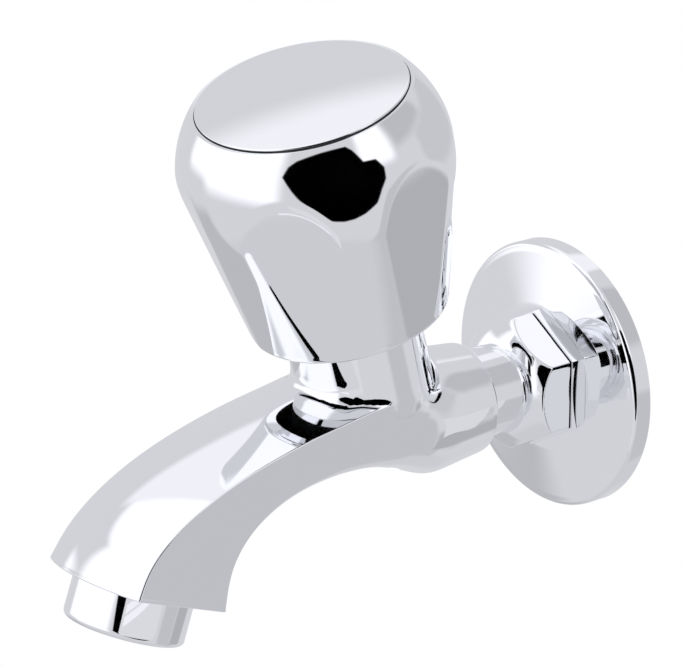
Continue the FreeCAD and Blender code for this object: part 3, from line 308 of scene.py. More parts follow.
cone_height = SHOULDER - BOTTOM - FOOT_ROUND
handle_side = [
    (BOTTOM_RADIUS + (SHOULDER_RADIUS - BOTTOM_RADIUS) * t, BOTTOM + FOOT_ROUND + cone_height * t)
    for t in np.linspace(0, 1, 40)
]
handle_foot = [(BOTTOM_RADIUS - FOOT_ROUND, BOTTOM)]
handle_foot += arc(handle_foot[0], handle_side[0], FOOT_ROUND, 8)[:-1]
handle_top = arc(handle_side[-1], (RECESS_RADIUS + RIM_WIDTH, RIM), SHOULDER_ARC, 60)
handle_outside = handle_foot + handle_side + handle_top
handle_inside = soften([
    (RECESS_RADIUS, RIM, RIM_ROUND), (RECESS_RADIUS, RECESS_FLOOR), (WELL_RADIUS, RECESS_FLOOR),
], RIM_STEPS)
handle_inside += [
    (WELL_RADIUS, WEB_TOP), (SCREW_HOLE, WEB_TOP), (SCREW_HOLE, WEB_BOTTOM),
    (BUSH_RADIUS, WEB_BOTTOM), (BUSH_RADIUS, BOSS_BOTTOM),
    (BOSS_RADIUS, BOSS_BOTTOM), (BOSS_RADIUS, HOLLOW_TOP), (HOLLOW_RADIUS, HOLLOW_TOP),
    (SHOULDER_RADIUS - WALL, SHOULDER), (BOTTOM_RADIUS - WALL, BOTTOM),
]
# The rounded edge of the rim shines with the outside, and so does the foot's flat edge.
shining_rows = len(handle_outside) + RIM_STEPS
handle_rows = len(handle_outside) + len(handle_inside)
# Below the rim's rounded edge, the recess wall and floor are painted dark as shade in the groove round
# the cap; the rows of the hollow are raw casting.
handle_marks = [0] * shining_rows + [1] * (handle_rows - shining_rows - 1) + [0]

flat_arc = arc((FLAT_SHOULDER, SHOULDER), (FLAT_TOP, FLAT_TOP_LEVEL), FLAT_BULGE, 40)
flat_levels = [BOTTOM, SHOULDER] + [p[1] for p in flat_arc] + [RIM + 1]
flat_radii = [FLAT_BOTTOM, FLAT_SHOULDER] + [p[0] for p in flat_arc] + [flat_arc[-1][0]]


def pressed_flats(radii, levels, angles):
    """Presses the six finger flats into the handle's outside, with softly rounded ridges."""
    outside = slice(0, len(handle_outside))
    apothem = np.interp(levels[outside], flat_levels, flat_radii)
    reach = hex_reach(angles, 2.0, HANDLE_PHASE)
    radii = radii.copy()
    radii[outside] = soft_min(radii[outside], apothem * reach, RIDGE_SOFTNESS)
    return radii


lathe(
    "handle_skin", VALVE, handle_outside + handle_inside, "handle", "handle_shell",
    segments=432, shape=pressed_flats, dark_marks=handle_marks,
)

# Cap: a crowned disc on a spigot. Its spigot, underside and side take the dark material, which is
# painted shade on the side that shows in the groove.
CAP_PLAY, CAP_HEIGHT, CAP_CROWN, CAP_ROUND = 0.42, 3.0, 0.9, 0.3
CAP_EDGE, CAP_FACE = RECESS_RADIUS - CAP_PLAY, RECESS_FLOOR + CAP_HEIGHT
SPIGOT_RADIUS, SPIGOT_END = 6.75, 67.4
face_radius = CAP_EDGE - CAP_ROUND
crown_radius = (face_radius**2 + CAP_CROWN**2) / (2 * CAP_CROWN)
cap_side = (CAP_EDGE, CAP_FACE - CAP_ROUND)
cap_profile = [
    (NEAR_AXIS, SPIGOT_END), (SPIGOT_RADIUS, SPIGOT_END), (SPIGOT_RADIUS, RECESS_FLOOR),
    (CAP_EDGE, RECESS_FLOOR), cap_side,
]
# The cap's chrome side is painted dark as shade in the groove.
cap_marks = [1] * (len(cap_profile) - 1)
cap_profile += arc(cap_side, (face_radius, CAP_FACE), CAP_ROUND, 8)
cap_profile += arc((face_radius, CAP_FACE), (NEAR_AXIS, CAP_FACE + CAP_CROWN), crown_radius, 40)
cap_marks += [0] * (len(cap_profile) - 1 - len(cap_marks))
lathe(
    "cap_skin", VALVE, cap_profile, "handle", "handle_cap",
    segments=256, closed=False, dark_marks=cap_marks,
)

# Aerator shell: radii outside, inside and at the mouth, and levels down from the spout's tip
SHELL_RADIUS, SHELL_BORE, MOUTH_RADIUS = 12.1, 11.0, 9.6
SHELL_TOP, SHELL_LEDGE, SHELL_END = 0.1, 6.8, 9.0
shell_profile = soften([
    (SHELL_BORE, SHELL_TOP),
    (SHELL_RADIUS, SHELL_TOP, 0.15),
    (SHELL_RADIUS, SHELL_END, 1.4),
    (MOUTH_RADIUS, SHELL_END, 0.2),
    (MOUTH_RADIUS, SHELL_LEDGE),
    (SHELL_BORE, SHELL_LEDGE),
], 8)
lathe("aerator_skin", OUTLET, shell_profile, "body", "aerator_shell", segments=256)

# Inlet nipple: screwed end in the barrel, neck, domed hexagon and screwed end in the wall
NIPPLE_BORE, BARREL_THREAD, NIPPLE_NECK, WALL_THREAD = 5.5, 8.27, 9.0, 10.48
RELIEF_RADIUS, RELIEF_END_RADIUS = 10.2, 10.18
NIPPLE_START, NIPPLE_SHOULDER, NIPPLE_NECK_END, NIPPLE_END = -34.9, -25.7, -17.1, 13.0
TAIL_RADIUS, TAIL_FACE, TAIL_EDGE = 9.4, 9.0, 0.1
DOME_FRONT, HEX_FRONT, HEX_BACK, DOME_ARC = -16.8, -12.9, -8.2, 9.0
HEX_FLATS, HEX_SOFTNESS, HEX_EDGE = 24.0, 0.18, 0.3
HEX_CORNER = HEX_FLATS / math.sqrt(3)
THREAD_START, THREAD_END, PITCH, THREAD_DEPTH = -4.0, 12.2, 1.814, 1.1
THREAD_SLOPE, THREAD_CREST, THREAD_ROWS = 1.25, 0.1, 16

nipple_rows = [
    (NIPPLE_BORE, NIPPLE_START), (BARREL_THREAD, NIPPLE_START), (BARREL_THREAD, NIPPLE_SHOULDER),
    (NIPPLE_NECK, NIPPLE_SHOULDER), (NIPPLE_NECK, NIPPLE_NECK_END),
]
hex_start = len(nipple_rows)
nipple_rows.append((NIPPLE_NECK, DOME_FRONT))
nipple_rows += arc((NIPPLE_NECK, DOME_FRONT), (HEX_CORNER, HEX_FRONT), DOME_ARC, 24)
nipple_rows += [(HEX_CORNER, v) for v in np.linspace(HEX_FRONT + HEX_EDGE, HEX_BACK, 8)]
hex_rows = slice(hex_start, len(nipple_rows))
nipple_rows += [(RELIEF_RADIUS, HEX_BACK), (RELIEF_END_RADIUS, THREAD_START)]
thread_start = len(nipple_rows)
nipple_rows += [(WALL_THREAD, v) for v in np.arange(THREAD_START, THREAD_END, PITCH / THREAD_ROWS)]
thread_rows = slice(thread_start, len(nipple_rows))
nipple_rows += [
    (TAIL_RADIUS, NIPPLE_END - TAIL_EDGE), (TAIL_FACE, NIPPLE_END), (NIPPLE_BORE, NIPPLE_END),
]


def nipple_shape(radii, levels, angles):
    """Presses the hexagon, and cuts the thread on the wall end."""
    radii = radii.copy()
    reach = np.broadcast_to(hex_reach(angles, HEX_FLATS), radii[hex_rows].shape)
    radii[hex_rows] = soft_min(radii[hex_rows], reach, HEX_SOFTNESS)
    wave = np.abs(((levels[thread_rows] / PITCH + angles / (2 * math.pi)) % 1.0) * 2 - 1)
    radii[thread_rows] -= THREAD_DEPTH * np.clip(wave * THREAD_SLOPE - THREAD_CREST, 0, 1)
    return radii


lathe("nipple_skin", INLET, nipple_rows, "body", "inlet_nipple", segments=288, shape=nipple_shape)

# Wall flange: a shallow dish with a raised hexagonal lip round its hole
FLANGE_RADIUS, FLANGE_ROUND, HOLE = 26.9, 1.0, 10.88
RIM_FRONT, FACE = -4.2, -6.2
LIP_FLATS, LIP_WIDTH, LIP_ROUND = 24.6, 0.5, 0.25
LIP_FRONT, LIP_INSIDE, LIP_FOOT = -7.9, -7.88, -5.9
DISH_START, DISH_END, DISH_SUNK, DISH_FALL = 14.6, 25.4, 0.27, 1.55
BACK_RADIUS, BACK_EDGE, BACK_HOLE = 25.7, -3.0, -5.0

lip = LIP_FLATS / 2
lip_rows = soften([(lip - LIP_WIDTH, LIP_FRONT), (lip, LIP_FRONT, LIP_ROUND), (lip, LIP_FOOT)], 6)
flange_rows = [(HOLE, LIP_INSIDE)] + lip_rows
flange_rows += [
    (DISH_START + (DISH_END - DISH_START) * t, FACE + DISH_SUNK + DISH_FALL * t)
    for t in np.linspace(0, 1, 20)
]
rim_start, rim_end = (FLANGE_RADIUS - FLANGE_ROUND, RIM_FRONT), (FLANGE_RADIUS, RIM_FRONT + FLANGE_ROUND)
flange_rows += [rim_start] + arc(rim_start, rim_end, FLANGE_ROUND, 10)
flange_rows += [(FLANGE_RADIUS, 0.0), (BACK_RADIUS, 0.0), (BACK_RADIUS, BACK_EDGE), (HOLE, BACK_HOLE)]


def flange_shape(radii, levels, angles):
    """Turns the lip's rows into a hexagon."""
    rows = slice(1, 1 + len(lip_rows))
    radii = radii.copy()
    radii[rows] = radii[rows] - lip + hex_reach(angles, LIP_FLATS)
    return radii


lathe("flange_skin", INLET, flange_rows, "body", "wall_flange", segments=288, shape=flange_shape)

# Casting: sections of four edges each along the barrel, elbow and spout
EDGE_POINTS, BELLY_POINTS = 61, 200
BARREL_STOPS = [(140, 40), (40, -15), (-15, -165), (-165, -220)]
BARREL_RADIUS, BARREL_SWELL, SWELL_END = 11.2, 1.4, 38.0
BARREL_END, ELBOW_START, ELBOW_END, ELBOW_SWELL = 25.7, 36.0, 52.5, 0.06
BARREL_SECTIONS, ELBOW_SECTIONS, SPOUT_SECTIONS = 3, 6, 8
# Pulling points of the spout's upper edge and of its belly's edge, in Y and Z
CREASE = np.array([(-50.0, 9.65), (-74.7, 7.4), (-108.9, 2.1)])
KEEL = np.array([(-50.0, -0.9), (-61.6, -1.2), (-92.5, 1.6)])
LEAN = math.radians(OUTLET_LEAN)
TIP = np.array([0, OUTLET_Y, OUTLET_Z])
TIP_ALONG = np.array([0, math.cos(LEAN), -math.sin(LEAN)])
TIP_OUT = np.array([0, -math.sin(LEAN), -math.cos(LEAN)])
TIP_FRONT, TIP_BACK = 10.45, 11.55
# The spout's shape at its root and at its tip
ROOT_SHARE = 0.0625
HALF_WIDTH, TIP_WIDENING, TUCK = 13.0, 1.2, 0.42
ROOT_CROWN, TIP_CROWN, ROOT_BELLY, TIP_BELLY = 2.4, 4.2, 6.9, 3.3


def mixed(first, last, share):
    return first + (last - first) * share


def lengths(points):
    """Distance along a line at each of its points."""
    return np.concatenate([[0], np.cumsum(np.linalg.norm(np.diff(points, axis=0), axis=1))])


def even(points, count):
    """Points evenly spaced along a line."""
    points = np.asarray(points)
    along = lengths(points)
    wanted = np.linspace(0, along[-1], count)
    return np.stack([np.interp(wanted, along, points[:, i]) for i in range(3)], axis=1)


def spout_section(share):
    """Crowned top, side, belly and side, at a share of the way from the root to the tip."""
    rest = 1 - share
    weights = np.array([rest**3, 3 * rest**2 * share, 3 * rest * share**2, share**3])
    crease = np.vstack([CREASE, (TIP - TIP_ALONG * TIP_FRONT)[1:]])
    keel = np.vstack([KEEL, (TIP + TIP_ALONG * TIP_BACK)[1:]])
    top = np.array([0, *(weights @ crease)])
    low = np.array([0, *(weights @ keel)])
    down = (low - top) / np.linalg.norm(low - top)
    side = np.array([HALF_WIDTH + TIP_WIDENING * share**8, 0, 0])
    crown = mixed(ROOT_CROWN, TIP_CROWN, share)
    pull = down * mixed(ROOT_BELLY, TIP_BELLY, share) * 4 / 3
    tuck = side * TUCK * share**2
    radius = (side[0] ** 2 + crown**2) / (2 * crown)
    centre = top + down * (radius - crown)
    spread = math.asin(side[0] / radius)
    sweep = np.linspace(-spread, spread, EDGE_POINTS)
    bow = [
        centre + np.array([radius * math.sin(v), 0, 0]) - down * radius * math.cos(v)
        for v in sweep
    ]
    t = np.linspace(0, 1, BELLY_POINTS)[:, None]
    poles = [low + side, low + side - tuck + pull, low - side + tuck + pull, low - side]
    belly = poles[0] * (1 - t) ** 3 + 3 * poles[1] * (1 - t) ** 2 * t
    belly = belly + 3 * poles[2] * (1 - t) * t**2 + poles[3] * t**3
    return [
        np.array(bow),
        even([top + side, low + side], EDGE_POINTS),
        even(belly, EDGE_POINTS),
        even([low - side, top - side], EDGE_POINTS),
    ]


def barrel_section(y):
    """A circle in four edges that match those of the spout."""
    swell = min((-y - BARREL_END) / (SWELL_END - BARREL_END), 1.0)
    radius = BARREL_RADIUS + BARREL_SWELL * swell
    edges = []
    for start, end in BARREL_STOPS:
        angles = np.radians(np.linspace(start, end, EDGE_POINTS))
        ys = np.full_like(angles, y)
        edges.append(np.stack([radius * np.cos(angles), ys, radius * np.sin(angles)], axis=1))
    return edges


def elbow_section(step):
    """A section between the barrel's circle and the spout's root."""
    y = -mixed(ELBOW_START, ELBOW_END, step)
    weight = step * step * (3 - 2 * step)
    swell = 1 + ELBOW_SWELL * math.sin(math.pi * step) ** 2
    edges = []
    for round_edge, spout_edge in zip(barrel_section(y), spout_section(ROOT_SHARE)):
        line = round_edge * (1 - weight) + spout_edge * weight
        line[:, 0] *= swell
        line[:, 1] = y
        edges.append(line)
    return edges


def spline(stations, values, wanted):
    """Natural cubic through values at the stations."""
    n = len(stations)
    gaps = np.diff(stations)
    system = np.eye(n)
    target = np.zeros((n,) + values.shape[1:])
    slopes = np.diff(values, axis=0) / gaps.reshape(-1, *[1] * (values.ndim - 1))
    for i in range(1, n - 1):
        system[i, i - 1:i + 2] = gaps[i - 1], 2 * (gaps[i - 1] + gaps[i]), gaps[i]
        target[i] = 6 * (slopes[i] - slopes[i - 1])
    bend = np.linalg.solve(system, target.reshape(n, -1)).reshape(target.shape)
    result = []
    for x in wanted:
        i = min(max(np.searchsorted(stations, x) - 1, 0), n - 2)
        h, a, b = gaps[i], stations[i + 1] - x, x - stations[i]
        line = (bend[i] * a**3 + bend[i + 1] * b**3) / (6 * h)
        line = line + (values[i] / h - bend[i] * h / 6) * a
        line = line + (values[i + 1] / h - bend[i + 1] * h / 6) * b
        result.append(line)
    return np.array(result)


EDGE_REACH, SIDE_POINTS, CORNER_POINTS = 0.25, 34, 7


def rounded_ring(edges):
    """One closed line round four edges, with their corners rounded."""
    ring = []
    for i, line in enumerate(edges):
        following = edges[(i + 1) % 4]
        along = lengths(line)
        wanted = np.linspace(EDGE_REACH, along[-1] - EDGE_REACH, SIDE_POINTS)
        ring += [np.array([np.interp(w, along, line[:, k]) for k in range(3)]) for w in wanted]
        corner = line[-1]
        start = ring[-1]
        along = lengths(following)
        end = np.array([np.interp(EDGE_REACH, along, following[:, k]) for k in range(3)])
        for t in np.linspace(0, 1, CORNER_POINTS + 2)[1:-1]:
            ring.append(start * (1 - t) ** 2 + corner * 2 * t * (1 - t) + end * t**2)
    return np.array(ring)


def drawn_in(ring, centre, normal, inset, back):
    """A ring moved towards its middle, and back from its plane."""
    way = centre - ring
    way /= np.linalg.norm(way, axis=1)[:, None]
    return ring + way * inset - normal * back


def round_ring(like, centre, normal, radius, level):
    """A circle round an axis, its points in line with those of another ring."""
    off = like - centre
    off = off - np.outer(off @ normal, normal)
    off /= np.linalg.norm(off, axis=1)[:, None]
    return centre + off * radius + normal * level


barrel_length = ELBOW_START - BARREL_END
sections = [
    barrel_section(-BARREL_END - barrel_length * i / BARREL_SECTIONS) for i in range(BARREL_SECTIONS)
]
sections += [elbow_section(i / ELBOW_SECTIONS) for i in range(ELBOW_SECTIONS)]
sections += [
    spout_section(ROOT_SHARE + (1 - ROOT_SHARE) * i / SPOUT_SECTIONS)
    for i in range(SPOUT_SECTIONS + 1)
]
sections = np.array([np.array(s) for s in sections])
spacing = np.linalg.norm(np.diff(sections, axis=0), axis=-1).mean(axis=(1, 2))
stations = np.concatenate([[0], np.cumsum(spacing)])
RINGS = 230
skin = [rounded_ring(e) for e in spline(stations, sections, np.linspace(0, stations[-1], RINGS))]
ring_size = len(skin[0])

# Both ends are rounded over, closed by a face and opened by a bore
EDGE_ROUND = 0.3
FACE_RADIUS, SOCKET_RADIUS, SOCKET_DEPTH = 9.8, 8.4, 9.0
COLLAR_RADIUS, COLLAR_LENGTH, WATERWAY_RADIUS, WATERWAY_DEPTH = 10.9, 4.2, 9.0, 6.0
barrel_centre, barrel_out = np.array([0, -BARREL_END, 0]), np.array([0, 1.0, 0])
bend_steps = [
    (EDGE_ROUND * (1 - math.cos(v)), EDGE_ROUND * (1 - math.sin(v)))
    for v in np.linspace(0, math.pi / 2, 5)
]
front = [drawn_in(skin[0], barrel_centre, barrel_out, i, b) for i, b in bend_steps]
tip = [drawn_in(skin[-1], TIP, TIP_OUT, i, b) for i, b in bend_steps]
barrel_face = [
    round_ring(skin[0], barrel_centre, barrel_out, radius, -depth)
    for radius, depth in ((FACE_RADIUS, 0), (SOCKET_RADIUS, 0), (SOCKET_RADIUS, SOCKET_DEPTH))
]
tip_face = [
    round_ring(skin[-1], TIP, TIP_OUT, radius, level)
    for radius, level in (
        (COLLAR_RADIUS, 0), (COLLAR_RADIUS, COLLAR_LENGTH),
        (WATERWAY_RADIUS, COLLAR_LENGTH), (WATERWAY_RADIUS, -WATERWAY_DEPTH),
    )
]
rings = barrel_face[::-1] + front[::-1] + skin[3:-2] + tip + tip_face
body_points = np.concatenate(rings)
body_grid = grid_faces(len(rings), ring_size)

# Neck of the casting, in the valve frame: a cylinder that flares towards the spout
NECK, NECK_TOP, NECK_POINTS, NECK_STEP, NECK_ROUND = 13.4, 27.0, 300, 0.35, 0.3
FLARE, FLARE_LOW, FLARE_HIGH, FLARE_ARC = 15.3, 13.0, 17.6, -5.5
FLARE_EDGE, FLARE_FADE = 0.60, 0.32
SINK, SINK_FROM, SINK_TO = 1.5, 9.0, 3.0
# Inset and rise of the rings over the neck's rounded edge, across its face and down its bore
NECK_MOUTH = [(0.03, 0.12), (0.12, 0.24), (0.3, 0.3), (2.9, 0.3), (2.92, -6.0)]
flare_arc = arc((FLARE, FLARE_LOW), (NECK, FLARE_HIGH), FLARE_ARC, 24)
flare_levels = [0.0, FLARE_LOW] + [p[1] for p in flare_arc] + [NECK_TOP]
flare_radii = [FLARE, FLARE] + [p[0] for p in flare_arc] + [NECK]


def neck_reach(angles, levels):
    """Radius of the neck: flared towards the spout, and drawn in below."""
    flare = np.interp(levels, flare_levels, flare_radii) - NECK
    forward = np.clip((-np.sin(angles) - FLARE_EDGE) / FLARE_FADE, 0, 1)
    sink = SINK * np.clip((SINK_FROM - levels) / (SINK_FROM - SINK_TO), 0, 1) ** 2
    return NECK + flare * forward**2 * (3 - 2 * forward) - sink


neck_angles = np.arange(NECK_POINTS) * 2 * math.pi / NECK_POINTS
neck_shoulder = NECK_TOP - NECK_ROUND
neck_rings = []
for level in [*np.arange(SINK_TO, neck_shoulder, NECK_STEP), neck_shoulder]:
    reach = neck_reach(neck_angles, np.full_like(neck_angles, level))
    across = [reach * np.cos(neck_angles), reach * np.sin(neck_angles)]
    neck_rings.append(np.stack([*across, np.full_like(reach, level)], axis=1))
last_ring = neck_rings[-1]
for inset, rise in NECK_MOUTH:
    ring = last_ring.copy()
    ring[:, :2] *= (NECK - inset) / NECK
    ring[:, 2] = neck_shoulder + rise
    neck_rings.append(ring)
valve = np.array(VALVE)
valve_back = np.linalg.inv(valve)
neck_points = np.concatenate(neck_rings) @ valve[:3, :3].T + valve[:3, 3]
neck_grid = grid_faces(len(neck_rings), NECK_POINTS)

# Smooth union of the two skins. Points deeper than TRIM inside the other skin are left out.
BLEND, TRIM = 1.6, 2.0
BLEND_FROM, BLEND_TO, BLEND_RADIUS = 2.0, NECK_TOP - 0.5, FLARE + 5
BLEND_STEPS, MEET_STEPS = 5, 6
SLOPE_FLOOR, APART_FLOOR, MEET_REACH = 0.2, 0.25, 1.5
SLOPE_STEP, CORNER_SOFTNESS, DAMPING = 0.05, 0.02, 1e-4
tree = BVHTree.FromPolygons([tuple(p) for p in body_points], body_grid)


def turned_out(points, faces, ring):
    """Faces and normals of a skin, turned so that one of its rings of points faces outwards."""
    corners = np.array(faces)
    a, b, c, d = (points[corners[:, i]] for i in range(4))
    across = np.cross(c - a, d - b)
    normals = np.zeros_like(points)
    for i in range(4):
        np.add.at(normals, corners[:, i], across)
    normals = normals / np.maximum(np.linalg.norm(normals, axis=1), 1e-12)[:, None]
    if (normals[ring] * (points[ring] - points[ring].mean(axis=0))).sum() < 0:
        return [face[::-1] for face in faces], -normals
    return faces, normals


ring_start = ring_size * (len(rings) // 4)
body_faces, body_normals = turned_out(body_points, body_grid, slice(ring_start, ring_start + ring_size))
neck_faces, neck_normals = turned_out(neck_points, neck_grid, slice(0, NECK_POINTS))


def body_distance(point):
    """Signed distance to the barrel and spout, and the way out of them."""
    spot, _, index, distance = tree.find_nearest(Vector(point))
    corners = list(body_grid[index])
    nearness = np.linalg.norm(body_points[corners] - np.array(spot), axis=1) + CORNER_SOFTNESS
    weights = 1 / nearness**2
    normal = (body_normals[corners] * weights[:, None]).sum(axis=0)
    normal /= np.linalg.norm(normal)
    gap = point - np.array(spot)
    return math.copysign(distance, gap @ normal), normal


def neck_distance(point):
    """Rough signed distance to the neck, and the way out of it."""
    x, y, level = valve_back[:3, :3] @ point + valve_back[:3, 3]
    radius, angle = math.hypot(x, y), math.atan2(y, x)
    angles = np.array([angle, angle + SLOPE_STEP / radius, angle])
    reach = neck_reach(angles, np.array([level, level, level + SLOPE_STEP]))
    slope_round = (reach[1] - reach[0]) / SLOPE_STEP
    slope_up = (reach[2] - reach[0]) / SLOPE_STEP
    way = np.array([
        math.cos(angle) + slope_round * math.sin(angle),
        math.sin(angle) - slope_round * math.cos(angle),
        -slope_up,
    ])
    length = np.linalg.norm(way)
    return (radius - reach[0]) / length, valve[:3, :3] @ (way / length)


def blended(point):
    """Smooth union of both distances and its slope, then both distances and how their ways differ."""
    a, way_a = neck_distance(point)
    b, way_b = body_distance(point)
    share = min(max(0.5 + 0.5 * (b - a) / BLEND, 0), 1)
    value = b * (1 - share) + a * share - BLEND * share * (1 - share)
    return value, way_a * share + way_b * (1 - share), a, b, way_a - way_b


def blend_in(points, normals, own):
    """Moves the points near the joint onto the blended skin. Returns which points stay."""
    stay = np.ones(len(points), bool)
    for i, start in enumerate(points):
        x, y, level = valve_back[:3, :3] @ start + valve_back[:3, 3]
        if not BLEND_FROM < level < BLEND_TO or math.hypot(x, y) > BLEND_RADIUS:
            continue
        point = start.copy()
        value, way, a, b, _ = blended(point)
        other = b if own == "neck" else a
        if other > BLEND:
            continue
        if other < -TRIM:
            stay[i] = False
            continue
        for _ in range(BLEND_STEPS):
            point -= value * way / max(way @ way, SLOPE_FLOOR)
            value, way, a, b, _ = blended(point)
        points[i] = point
        normals[i] = way / np.linalg.norm(way)
        if (own == "neck" and a > b) or (own == "body" and b > a):
            stay[i] = False
    return stay


def meet(points, normals, faces, stay):
    """Moves the outermost points of a trimmed skin onto the line where both skins meet."""
    rim = {v for f in faces if stay[list(f)].any() for v in f if not stay[v]}
    for i in rim:
        point = points[i].copy()
        for _ in range(MEET_STEPS):
            value, way, a, b, apart = blended(point)
            if np.linalg.norm(apart) < APART_FLOOR:
                break
            slopes = np.array([way, apart])
            square = slopes @ slopes.T + DAMPING * np.eye(2)
            point -= slopes.T @ np.linalg.solve(square, [value, a - b])
        if np.linalg.norm(point - points[i]) < MEET_REACH:
            points[i] = point
            normals[i] = way / np.linalg.norm(way)


body_stay = blend_in(body_points, body_normals, "body")
neck_stay = blend_in(neck_points, neck_normals, "neck")
meet(body_points, body_normals, body_faces, body_stay)
meet(neck_points, neck_normals, neck_faces, neck_stay)
kept_faces = [f for f in body_faces if body_stay[list(f)].any()]
kept_faces += [
    tuple(v + len(body_points) for v in f) for f in neck_faces if neck_stay[list(f)].any()
]
build(
    "casting_skin", Matrix.Identity(4), np.concatenate([body_points, neck_points]), kept_faces,
    "body", "tap_body", normals=np.concatenate([body_normals, neck_normals]),
)

# Studio: what the chrome sees, as soft-edged boxes of light and one dark room.
# Each box is azimuth from and to, elevation from and to, softness (degrees) and brightness.
# Azimuth 0 is towards the spout and 90 is to the user's right. Later boxes lie over earlier ones.
BASE_LIGHT, PLAIN_LIGHT = 0.69, 0.75
STUDIO_TINT = (0.985, 0.99, 1.03)
BOXES = [
    (-185, 185, -120, -48, 12, 0.64),
    (136, 160, -54, -34, 6, 0.57),
    (126, 172, 24, 62, 10, 0.53),
    (112, 142, -50, -8, 7, 0.56),
    (144, 176, -40, -21, 8, 0.46),
    (150, 205, -10, 22, 8, 0.60),
    (-122, -54, -60, -27, 9, 0.52),
    (-125, 25, 43, 120, 6, 1.10),
    (-160, -88, 38, 120, 6, 0.95),
    (-50, 20, -14, 46, 13, 1.12),
    (-73, -40, -8, 14, 9, 1.12),
    (88, 121, 17, 57, 10, 1.12),
    (-152, -128, -27, -13, 3, 1.10),
]
# The room behind the camera: corners of two convex windows, azimuth and elevation
DARK_ROOM = [
    [
        (21.0, 12.4), (24.6, 23.3), (30.8, 29.5), (51.6, 38.0), (77.3, 41.1), (82.9, 36.6),
        (90.9, 24.1), (104.1, -3.3), (100.8, -14.4), (92.0, -22.2), (83.4, -26.4),
        (74.7, -28.1), (64.0, -27.0), (38.4, -9.5), (30.4, 1.4),
    ],
    [(88.0, 24.4), (102.3, 23.0), (108.1, 14.0), (108.1, 4.5), (104.1, -3.3), (88.0, -3.3)],
]
DARK_LIGHT, DARK_SOFTNESS = 0.0, 0.8


def heading(azimuth, elevation):
    a, e = math.radians(azimuth), math.radians(elevation)
    return Vector((math.sin(a) * math.cos(e), -math.cos(a) * math.cos(e), math.sin(e)))


def box_mask(n, way, left, right, low, high, soft):
    """1 inside a box of azimuth and elevation, 0 outside it."""
    middle = (left + right) / 2
    across = n.dot(way, heading(middle + 90, 0))
    ahead = n.dot(way, heading(middle, 0))
    turn = n.math("ARCTAN2", across, ahead)
    height = n.math("ARCSINE", n.dot(way, (0, 0, 1)))
    rise = n.math("SUBTRACT", height, math.radians((low + high) / 2))
    masks = []
    for value, half in ((turn, (right - left) / 2), (rise, (high - low) / 2)):
        edges = math.radians(half + soft / 2), math.radians(half - soft / 2)
        masks.append(n.ramp(n.math("ABSOLUTE", value), *edges))
    return n.math("MULTIPLY", *masks)


def window_reach(n, way, corners):
    """How far a direction lies inside a convex window, below zero outside it."""
    points = [heading(*corner) for corner in corners]
    middle = sum(points, Vector())
    reach = 1.0
    for first, second in zip(points, points[1:] + points[:1]):
        side = first.cross(second).normalized()
        if side.dot(middle) < 0:
            side.negate()
        reach = n.math("MINIMUM", reach, n.dot(way, side))
    return reach


def background(n, strength=1.0):
    node = n.add("ShaderNodeBackground")
    node.inputs["Color"].default_value = (1, 1, 1, 1)
    node.inputs["Strength"].default_value = strength
    return node


world = bpy.data.worlds.new("studio")
world.use_nodes = True
bpy.context.scene.world = world
n = Nodes(world.node_tree)
way = n.add("ShaderNodeTexCoord").outputs["Generated"]
light = BASE_LIGHT
for *box, brightness in BOXES:
    light = n.mix(box_mask(n, way, *box), light, brightness)
room = n.math("MAXIMUM", *(window_reach(n, way, corners) for corners in DARK_ROOM))
edge_width = math.sin(math.radians(DARK_SOFTNESS))
light = n.mix(n.ramp(room, -edge_width, edge_width), light, DARK_LIGHT)
tint = n.add("ShaderNodeVectorMath", operation="SCALE")
tint.inputs[0].default_value = STUDIO_TINT
n.put(tint.inputs["Scale"], light)
studio = background(n)
n.put(studio.inputs["Color"], tint.outputs[0])
# Metal sees the studio, matt surfaces are lit evenly, and the camera sees white.
path = n.add("ShaderNodeLightPath").outputs
lit = n.either(path["Is Glossy Ray"], background(n, PLAIN_LIGHT).outputs[0], studio.outputs[0])
seen = n.math("MAXIMUM", path["Is Camera Ray"], path["Is Transmission Ray"])
n.finish("ShaderNodeOutputWorld", n.either(seen, lit, background(n).outputs[0]))


def sheet(name, corners, material):
    """A four-cornered sheet of the stage."""
    mesh = bpy.data.meshes.new(name)
    mesh.from_pydata(corners, [], [(0, 1, 2, 3)])
    mesh.materials.append(material)
    piece = bpy.data.objects.new(name, mesh)
    bpy.context.scene.collection.objects.link(piece)
    return piece


def glow(n, colour=(1, 1, 1), strength=1.0):
    node = n.add("ShaderNodeEmission")
    node.inputs["Color"].default_value = (*colour, 1)
    node.inputs["Strength"].default_value = strength
    return node.outputs[0]


# Floor: matt and pale, and plain white to the camera
FLOOR_LEVEL, FLOOR_REACH, FLOOR_COLOUR = -0.30, 6.0, (0.82, 0.82, 0.83)
floor_material, n = new_material("pale_floor")
matt = n.add("ShaderNodeBsdfDiffuse")
matt.inputs["Color"].default_value = (*FLOOR_COLOUR, 1)
to_camera = n.add("ShaderNodeLightPath").outputs["Is Camera Ray"]
n.finish("ShaderNodeOutputMaterial", n.either(to_camera, matt.outputs[0], glow(n)))
floor = sheet(
    "floor",
    [(x * FLOOR_REACH, y * FLOOR_REACH, FLOOR_LEVEL) for x, y in ((-1, -1), (1, -1), (1, 1), (-1, 1))],
    floor_material,
)
floor.visible_glossy = False


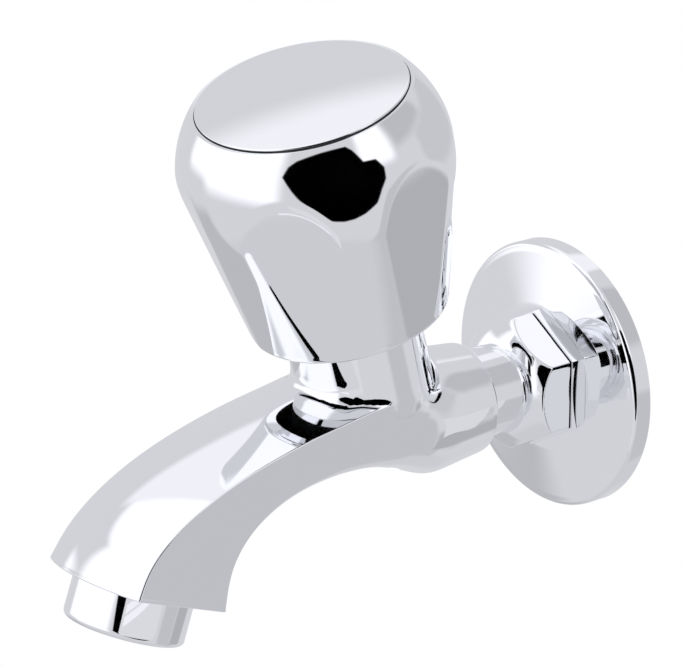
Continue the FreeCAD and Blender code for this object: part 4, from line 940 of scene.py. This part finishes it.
def card(name, start, end, low, high, brightness):
    """A glowing upright sheet, between two points of the plan, that only polished metal sees."""
    material, n = new_material(name)
    n.finish("ShaderNodeOutputMaterial", glow(n, STUDIO_TINT, brightness))
    corners = [(*start, low), (*end, low), (*end, high), (*start, high)]
    piece = sheet(name, [tuple(Vector(c) * MM) for c in corners], material)
    piece.visible_camera = False
    piece.visible_diffuse = False
    piece.visible_shadow = False


OUTLET_SIDE, CARD_DISTANCE = Vector((0, -108.0, 0)), 60.0
card("side_card", (70, -190), (70, -95), -45, 0, 0.75)
card("hexagon_card", (30, -14), (30, -6), -17, -1, 0.74)
left, right = ((OUTLET_SIDE + heading(v, 0) * CARD_DISTANCE).xy for v in (45, 80))
card("lower_card", left, right, -22.0, -18.2, 0.95)
card("upper_card", left, right, -17.0, -13.5, 0.95)

key = bpy.data.lights.new("key", "AREA")
key.energy = 4.0
key.size = 0.6
key_place = bpy.data.objects.new("key", key)
key_place.location = (0.45, -0.7, 0.75)
key_place.rotation_mode = "QUATERNION"
key_place.rotation_quaternion = (-key_place.location).to_track_quat("-Z", "Y")
key_place.visible_glossy = False
bpy.context.scene.collection.objects.link(key_place)

# Camera, fitted to the photograph
AZIMUTH, ELEVATION, ROLL, DISTANCE, FOCAL_PIXELS = 51.055, 20.689, 0.570, 1500.0, 7656.1
WIDTH, HEIGHT, CENTRE_X, CENTRE_Y = 682, 667, 341.0, 333.0
TARGET = Vector((-12.491, -46.5, 14.661))
camera = bpy.data.cameras.new("camera")
camera.sensor_fit = "HORIZONTAL"
camera.sensor_width = 36.0
camera.lens = FOCAL_PIXELS / WIDTH * camera.sensor_width
camera.shift_x = (WIDTH / 2 - CENTRE_X) / WIDTH
camera.shift_y = (CENTRE_Y - HEIGHT / 2) / WIDTH
camera.clip_start, camera.clip_end = 0.05, 50.0
eye = bpy.data.objects.new("camera", camera)
back = heading(AZIMUTH, ELEVATION)
eye.location = (TARGET + back * DISTANCE) * MM
level_right = heading(AZIMUTH + 90, 0)
level_up = back.cross(level_right)
roll = math.radians(ROLL)
right = math.cos(roll) * level_right + math.sin(roll) * level_up
up = back.cross(right)
eye.rotation_mode = "QUATERNION"
eye.rotation_quaternion = Matrix((right, up, back)).transposed().to_quaternion()
bpy.context.scene.collection.objects.link(eye)
bpy.context.scene.camera = eye
bpy.context.scene.view_settings.view_transform = "Standard"
